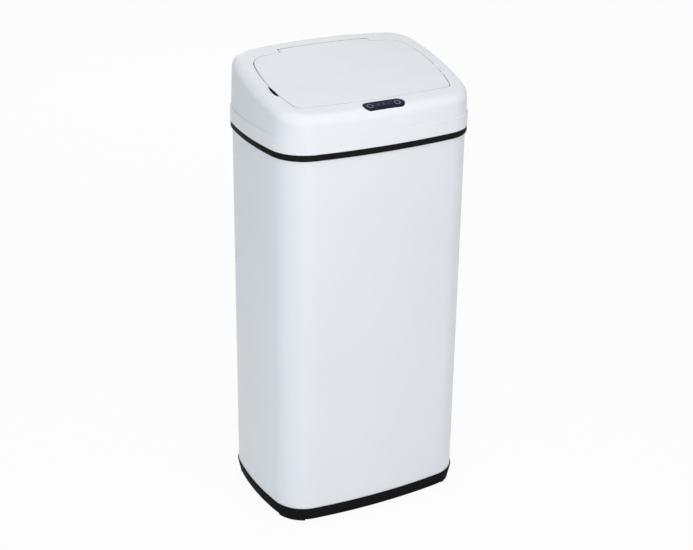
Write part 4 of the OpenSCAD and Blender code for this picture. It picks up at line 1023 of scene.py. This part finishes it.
def smooth_route(points, steps=7):
    """A curve through all the points (Catmull-Rom)."""
    p = np.array([points[0], *points, points[-1]], float)
    route = []
    for a, b, c, d in zip(p, p[1:], p[2:], p[3:]):
        for t in np.arange(steps) / steps:
            square, cube = 2 * a - 5 * b + 4 * c - d, 3 * b - a - 3 * c + d
            route.append(0.5 * (2 * b + (c - a) * t + square * t * t + cube * t ** 3))
    return np.array(route + [p[-1]])


def wire(shell, points, sides=10):
    """A round wire along a smooth route, closed at both ends."""
    route = smooth_route(points)
    along = np.gradient(route, axis=0)
    along /= norm(along, axis=1)[:, None]
    side = np.cross(along[0], [0.3, 0.2, 0.9])
    loop = circle(0, 0, WIRE_R, sides)
    rows = []
    for place, way in zip(route, along):
        side = side - way * (side @ way)
        side /= norm(side)
        rows.append(place + loop @ np.array([side, np.cross(way, side)]))
    shell.capped(rows)


def wire_harness():
    """Leads from the cells to the switch and the board, and on to the motor and the sensor."""
    power = (BATTERY_TO_BOARD, SWITCH_TO_BATTERY, MOTOR_TO_BOARD)
    for name, material, routes, steps in (
            ("red_leads", RED_WIRE, power, (0,)), ("black_leads", BLACK_WIRE, power, (1,)),
            ("sensor_leads", GREY_WIRE, (SENSOR_TO_BOARD,), range(4))):
        shell = Shell()
        for route in routes:
            for step in steps:
                wire(shell, np.array(route) + [0.0, 0, step * WIRE_STEP])
        finish(shell.thing(name), "lid_unit", material, angle=60)


# ---- CAD nodes that are shown as they are, with softened edges

def smooth_by_angle(angle):
    """A node group that shades every face smooth, and sharp the edges above an angle."""
    group = bpy.data.node_groups.new(f"smooth_by_{angle}", "GeometryNodeTree")
    for way in ("INPUT", "OUTPUT"):
        group.interface.new_socket("Geometry", in_out=way, socket_type="NodeSocketGeometry")
    start = add_node(group, "NodeGroupInput")[0]
    faces = add_node(group, "GeometryNodeSetShadeSmooth", {"Geometry": start}, domain="FACE")[0]
    angles = add_node(group, "GeometryNodeInputMeshEdgeAngle")["Unsigned Angle"]
    below = add_node(group, "FunctionNodeCompare", {0: angles, 1: radians(angle)},
                     data_type="FLOAT", operation="LESS_EQUAL")[0]
    edges = add_node(group, "GeometryNodeSetShadeSmooth",
                     {"Geometry": faces, "Shade Smooth": below}, domain="EDGE")[0]
    add_node(group, "NodeGroupOutput", {0: edges})
    return group


def dress(node, material, bevel):
    thing = NODES[node]
    modify(thing, "weld", "WELD", merge_threshold=0.000002)
    modify(thing, "edges", "BEVEL", width=bevel * MM, segments=2, limit_method="ANGLE",
           angle_limit=radians(40), use_clamp_overlap=True, harden_normals=False)
    modify(thing, "smooth", "NODES", node_group=SMOOTH)
    even_normals(thing)
    wear(thing, material)


SMOOTH = smooth_by_angle(34)
POWDER = powder_coat()
COVER_WHITE = moulded_white("cover_white")
FLAP_WHITE = moulded_white("flap_white", 0.995)
COLLAR_WHITE = moulded_white("collar_white", 1.015)
BLACK = moulded_black("black_moulding", scuffs=0.3)
BASE_BLACK = moulded_black("base_black", (0.0085, 0.0087, 0.0084), 0.2, 0.003)
RUBBER = rubber()
WINDOW = window_gloss()
KEY_RING = plain_finish("key_ring", ((0.135, 0.120, 0.200), (0.190, 0.172, 0.262)), (600, 4),
                        (1800, 10), (800, 0.24, 0.38), Coat_Weight=0.2, Coat_Roughness=0.1,
                        Specular_IOR_Level=0.2)
EYE = plain_finish("key_eye", ((0.026, 0.022, 0.060), (0.040, 0.035, 0.090)), (500, 3),
                   (900, 10), (700, 0.12, 0.24), Coat_Weight=0.3, Coat_Roughness=0.05,
                   Specular_IOR_Level=0.1)
CASE = plain_finish("component_case", ((0.022, 0.022, 0.025), (0.045, 0.045, 0.05)), (900, 4),
                    (2400, 30), (500, 0.3, 0.5))
LAMP = plain_finish("lamp_body", ((0.75, 0.80, 0.95), (0.62, 0.68, 0.88)), (700, 3), (900, 20),
                    (600, 0.08, 0.2), Transmission_Weight=0.5, IOR=1.5, Coat_Weight=0.5)
RED = plain_finish("red_key", ((0.42, 0.012, 0.012), (0.33, 0.010, 0.012)), (300, 4), (1600, 20),
                   (200, 0.28, 0.42), Coat_Weight=0.3, Coat_Roughness=0.2)
RED_WIRE = wire_sleeve("red_wire", (0.40, 0.02, 0.018))
BLACK_WIRE = wire_sleeve("black_wire", (0.020, 0.020, 0.022))
GREY_WIRE = wire_sleeve("grey_wire", (0.30, 0.30, 0.31))

CORNER_CENTRE = quarter_arcs(HALF_W, HALF_D, END_BOW, FRONT_BOW, CORNER_R)[1][0]
FOOT_X, FOOT_Y = HALF_W - CORNER_R + FOOT_OUT, HALF_D - CORNER_R + FOOT_OUT
FEET = [(sx * FOOT_X, sy * FOOT_Y) for sx in (-1, 1) for sy in (-1, 1)]

body_sheet()
base_moulding()
rubber_feet()
bag_band()
collar_moulding()
cover_moulding()
flap_moulding()
window_lens()
window_eyes()
button_cap(-1, "open_button")
button_cap(1, "close_button")
wire_harness()

# slot, material, and the nodes that wear it with the width of their softened edges
for slot, material, nodes in (
        ("inner_black", moulded_black("inner_moulding", (0.018, 0.0182, 0.0185), 0.3),
         {"throat_frame": 0.2, "flap_liner": 0.2}),
        ("rubber", RUBBER, {"flap_buffers": 0.3}),
        ("steel", turned_metal("bright_steel", (0.62, 0.62, 0.61)),
         {"hinge_shaft": 0.2, "gear_axles": 0.1, "cover_screws": 0.08, "liner_screws": 0.08,
          "gearbox_screws": 0.08}),
        ("dark_parts", CASE, {"hinge_bushes": 0.15, "infrared_pair": 0.1, "button_switches": 0.1}),
        ("black_plastic", moulded_black("shaded_moulding", (0.026, 0.026, 0.027), 0.7),
         {"gear_plate_inner": 0.2, "gear_plate_outer": 0.2, "battery_box": 0.3,
          "switch_body": 0.25}),
        ("gear_plastic", acetal(), {"sector_gear": 0.05, "second_gear": 0.05, "first_gear": 0.04}),
        ("brass", turned_metal("brass", (0.78, 0.58, 0.27)), {"motor_pinion": 0.04}),
        ("motor_can", turned_metal("motor_can", (0.55, 0.55, 0.54), 0, (0.28, 0.42), 1600),
         {"motor": 0.4}),
        ("circuit_board", circuit_board(), {"sensor_board": 0.08, "control_board": 0.1}),
        ("lamp", LAMP, {"status_light": 0.1}),
        ("cell_wrap", cell_sleeve(), {"battery_cells": 0.3}),
        ("contact", turned_metal("nickel", (0.66, 0.64, 0.60), 1, (0.2, 0.34)),
         {"battery_contacts": 0.08}),
        ("white_cover", moulded_white("door_white", 0.985), {"battery_door": 0.25}),
        ("switch_red", RED, {"power_rocker": 0.25})):
    for node, bevel in nodes.items():
        dress(node, material, bevel)


# ---- floor, camera and light

FLOOR_HALF = 9000
AZIMUTH, ELEVATION, ROLL = -28.2, 24.046, 0.761
AIM, CAMERA_DISTANCE, LENS = (0, 0, 0.36033), 2.3551, 76.96
SKY, SKY_STRENGTH = (0.935, 0.97, 1, 1), 0.38

# name, place, what it is aimed at, size, power and tint
LAMPS = (
    ("key", (-1.4, -2.4, 2.2), (0, 0, 0.45), 1.2, 19.4),
    ("left_low", (-2.6, -0.5, 0.8), (0, 0, 0.35), 1.2, 7.6, (0.78, 0.92, 1)),
    ("near_front", (0, -0.5, 1.2), (0, -0.1, 0.7), 0.4, 0.9),
    ("front_low", (-0.5, -2.8, 0.5), (0, 0, 0.35), 1.2, 18.6),
    ("over", (0, -0.3, 2.6), (0, 0, 0.7), 1.2, 9),
    ("back", (0.9, 2.6, 1.5), (0, 0, 0.4), 1.4, 14),
)


def floor():
    x = np.linspace(-FLOOR_HALF, FLOOR_HALF, 13)
    rows = [row(np.column_stack([x, np.full(13, y)]), 0) for y in x]
    thing = Shell().add(np.vstack(rows), grid_faces(13, 13, ring=False)).thing("floor")
    thing.data.materials.append(paper_floor())


def camera():
    data = bpy.data.cameras.new("camera")
    data.lens, data.sensor_width = LENS, 36.0
    thing = link_object("camera", data)
    place = Matrix.Translation(AIM)
    for angle, axis in ((AZIMUTH, "Z"), (90 - ELEVATION, "X"), (ROLL, "Z")):
        place @= Matrix.Rotation(radians(angle), 4, axis)
    thing.matrix_world = place @ Matrix.Translation((0, 0, CAMERA_DISTANCE))
    bpy.context.scene.camera = thing


def soft_light(name, place, target, size, watts, tint=(1, 1, 1)):
    data = bpy.data.lights.new(name, "AREA")
    data.shape, data.size, data.energy, data.color = "DISK", size, watts, tint
    thing = link_object(name, data)
    turn = (Vector(target) - Vector(place)).to_track_quat("-Z", "Y")
    thing.matrix_world = Matrix.Translation(place) @ turn.to_matrix().to_4x4()
    thing.visible_camera = False


def world():
    """A pale sky for the light, and plain white where the camera or a reflection sees it."""
    scene = bpy.context.scene
    scene.world = bpy.data.worlds.new("studio")
    scene.world.use_nodes = True
    tree = scene.world.node_tree
    soft = tree.nodes["Background"]
    soft.inputs["Color"].default_value = SKY
    soft.inputs["Strength"].default_value = SKY_STRENGTH
    white = add_node(tree, "ShaderNodeBackground", {"Color": (1, 1, 1, 1), "Strength": 1.0})[0]
    mix = add_node(tree, "ShaderNodeMixShader",
                   {0: seen_directly(tree), 1: soft.outputs[0], 2: white})[0]
    tree.links.new(mix, tree.nodes["World Output"].inputs["Surface"])


floor()
camera()
world()
for lamp in LAMPS:
    soft_light(*lamp)
bpy.context.scene.view_settings.view_transform = "Standard"
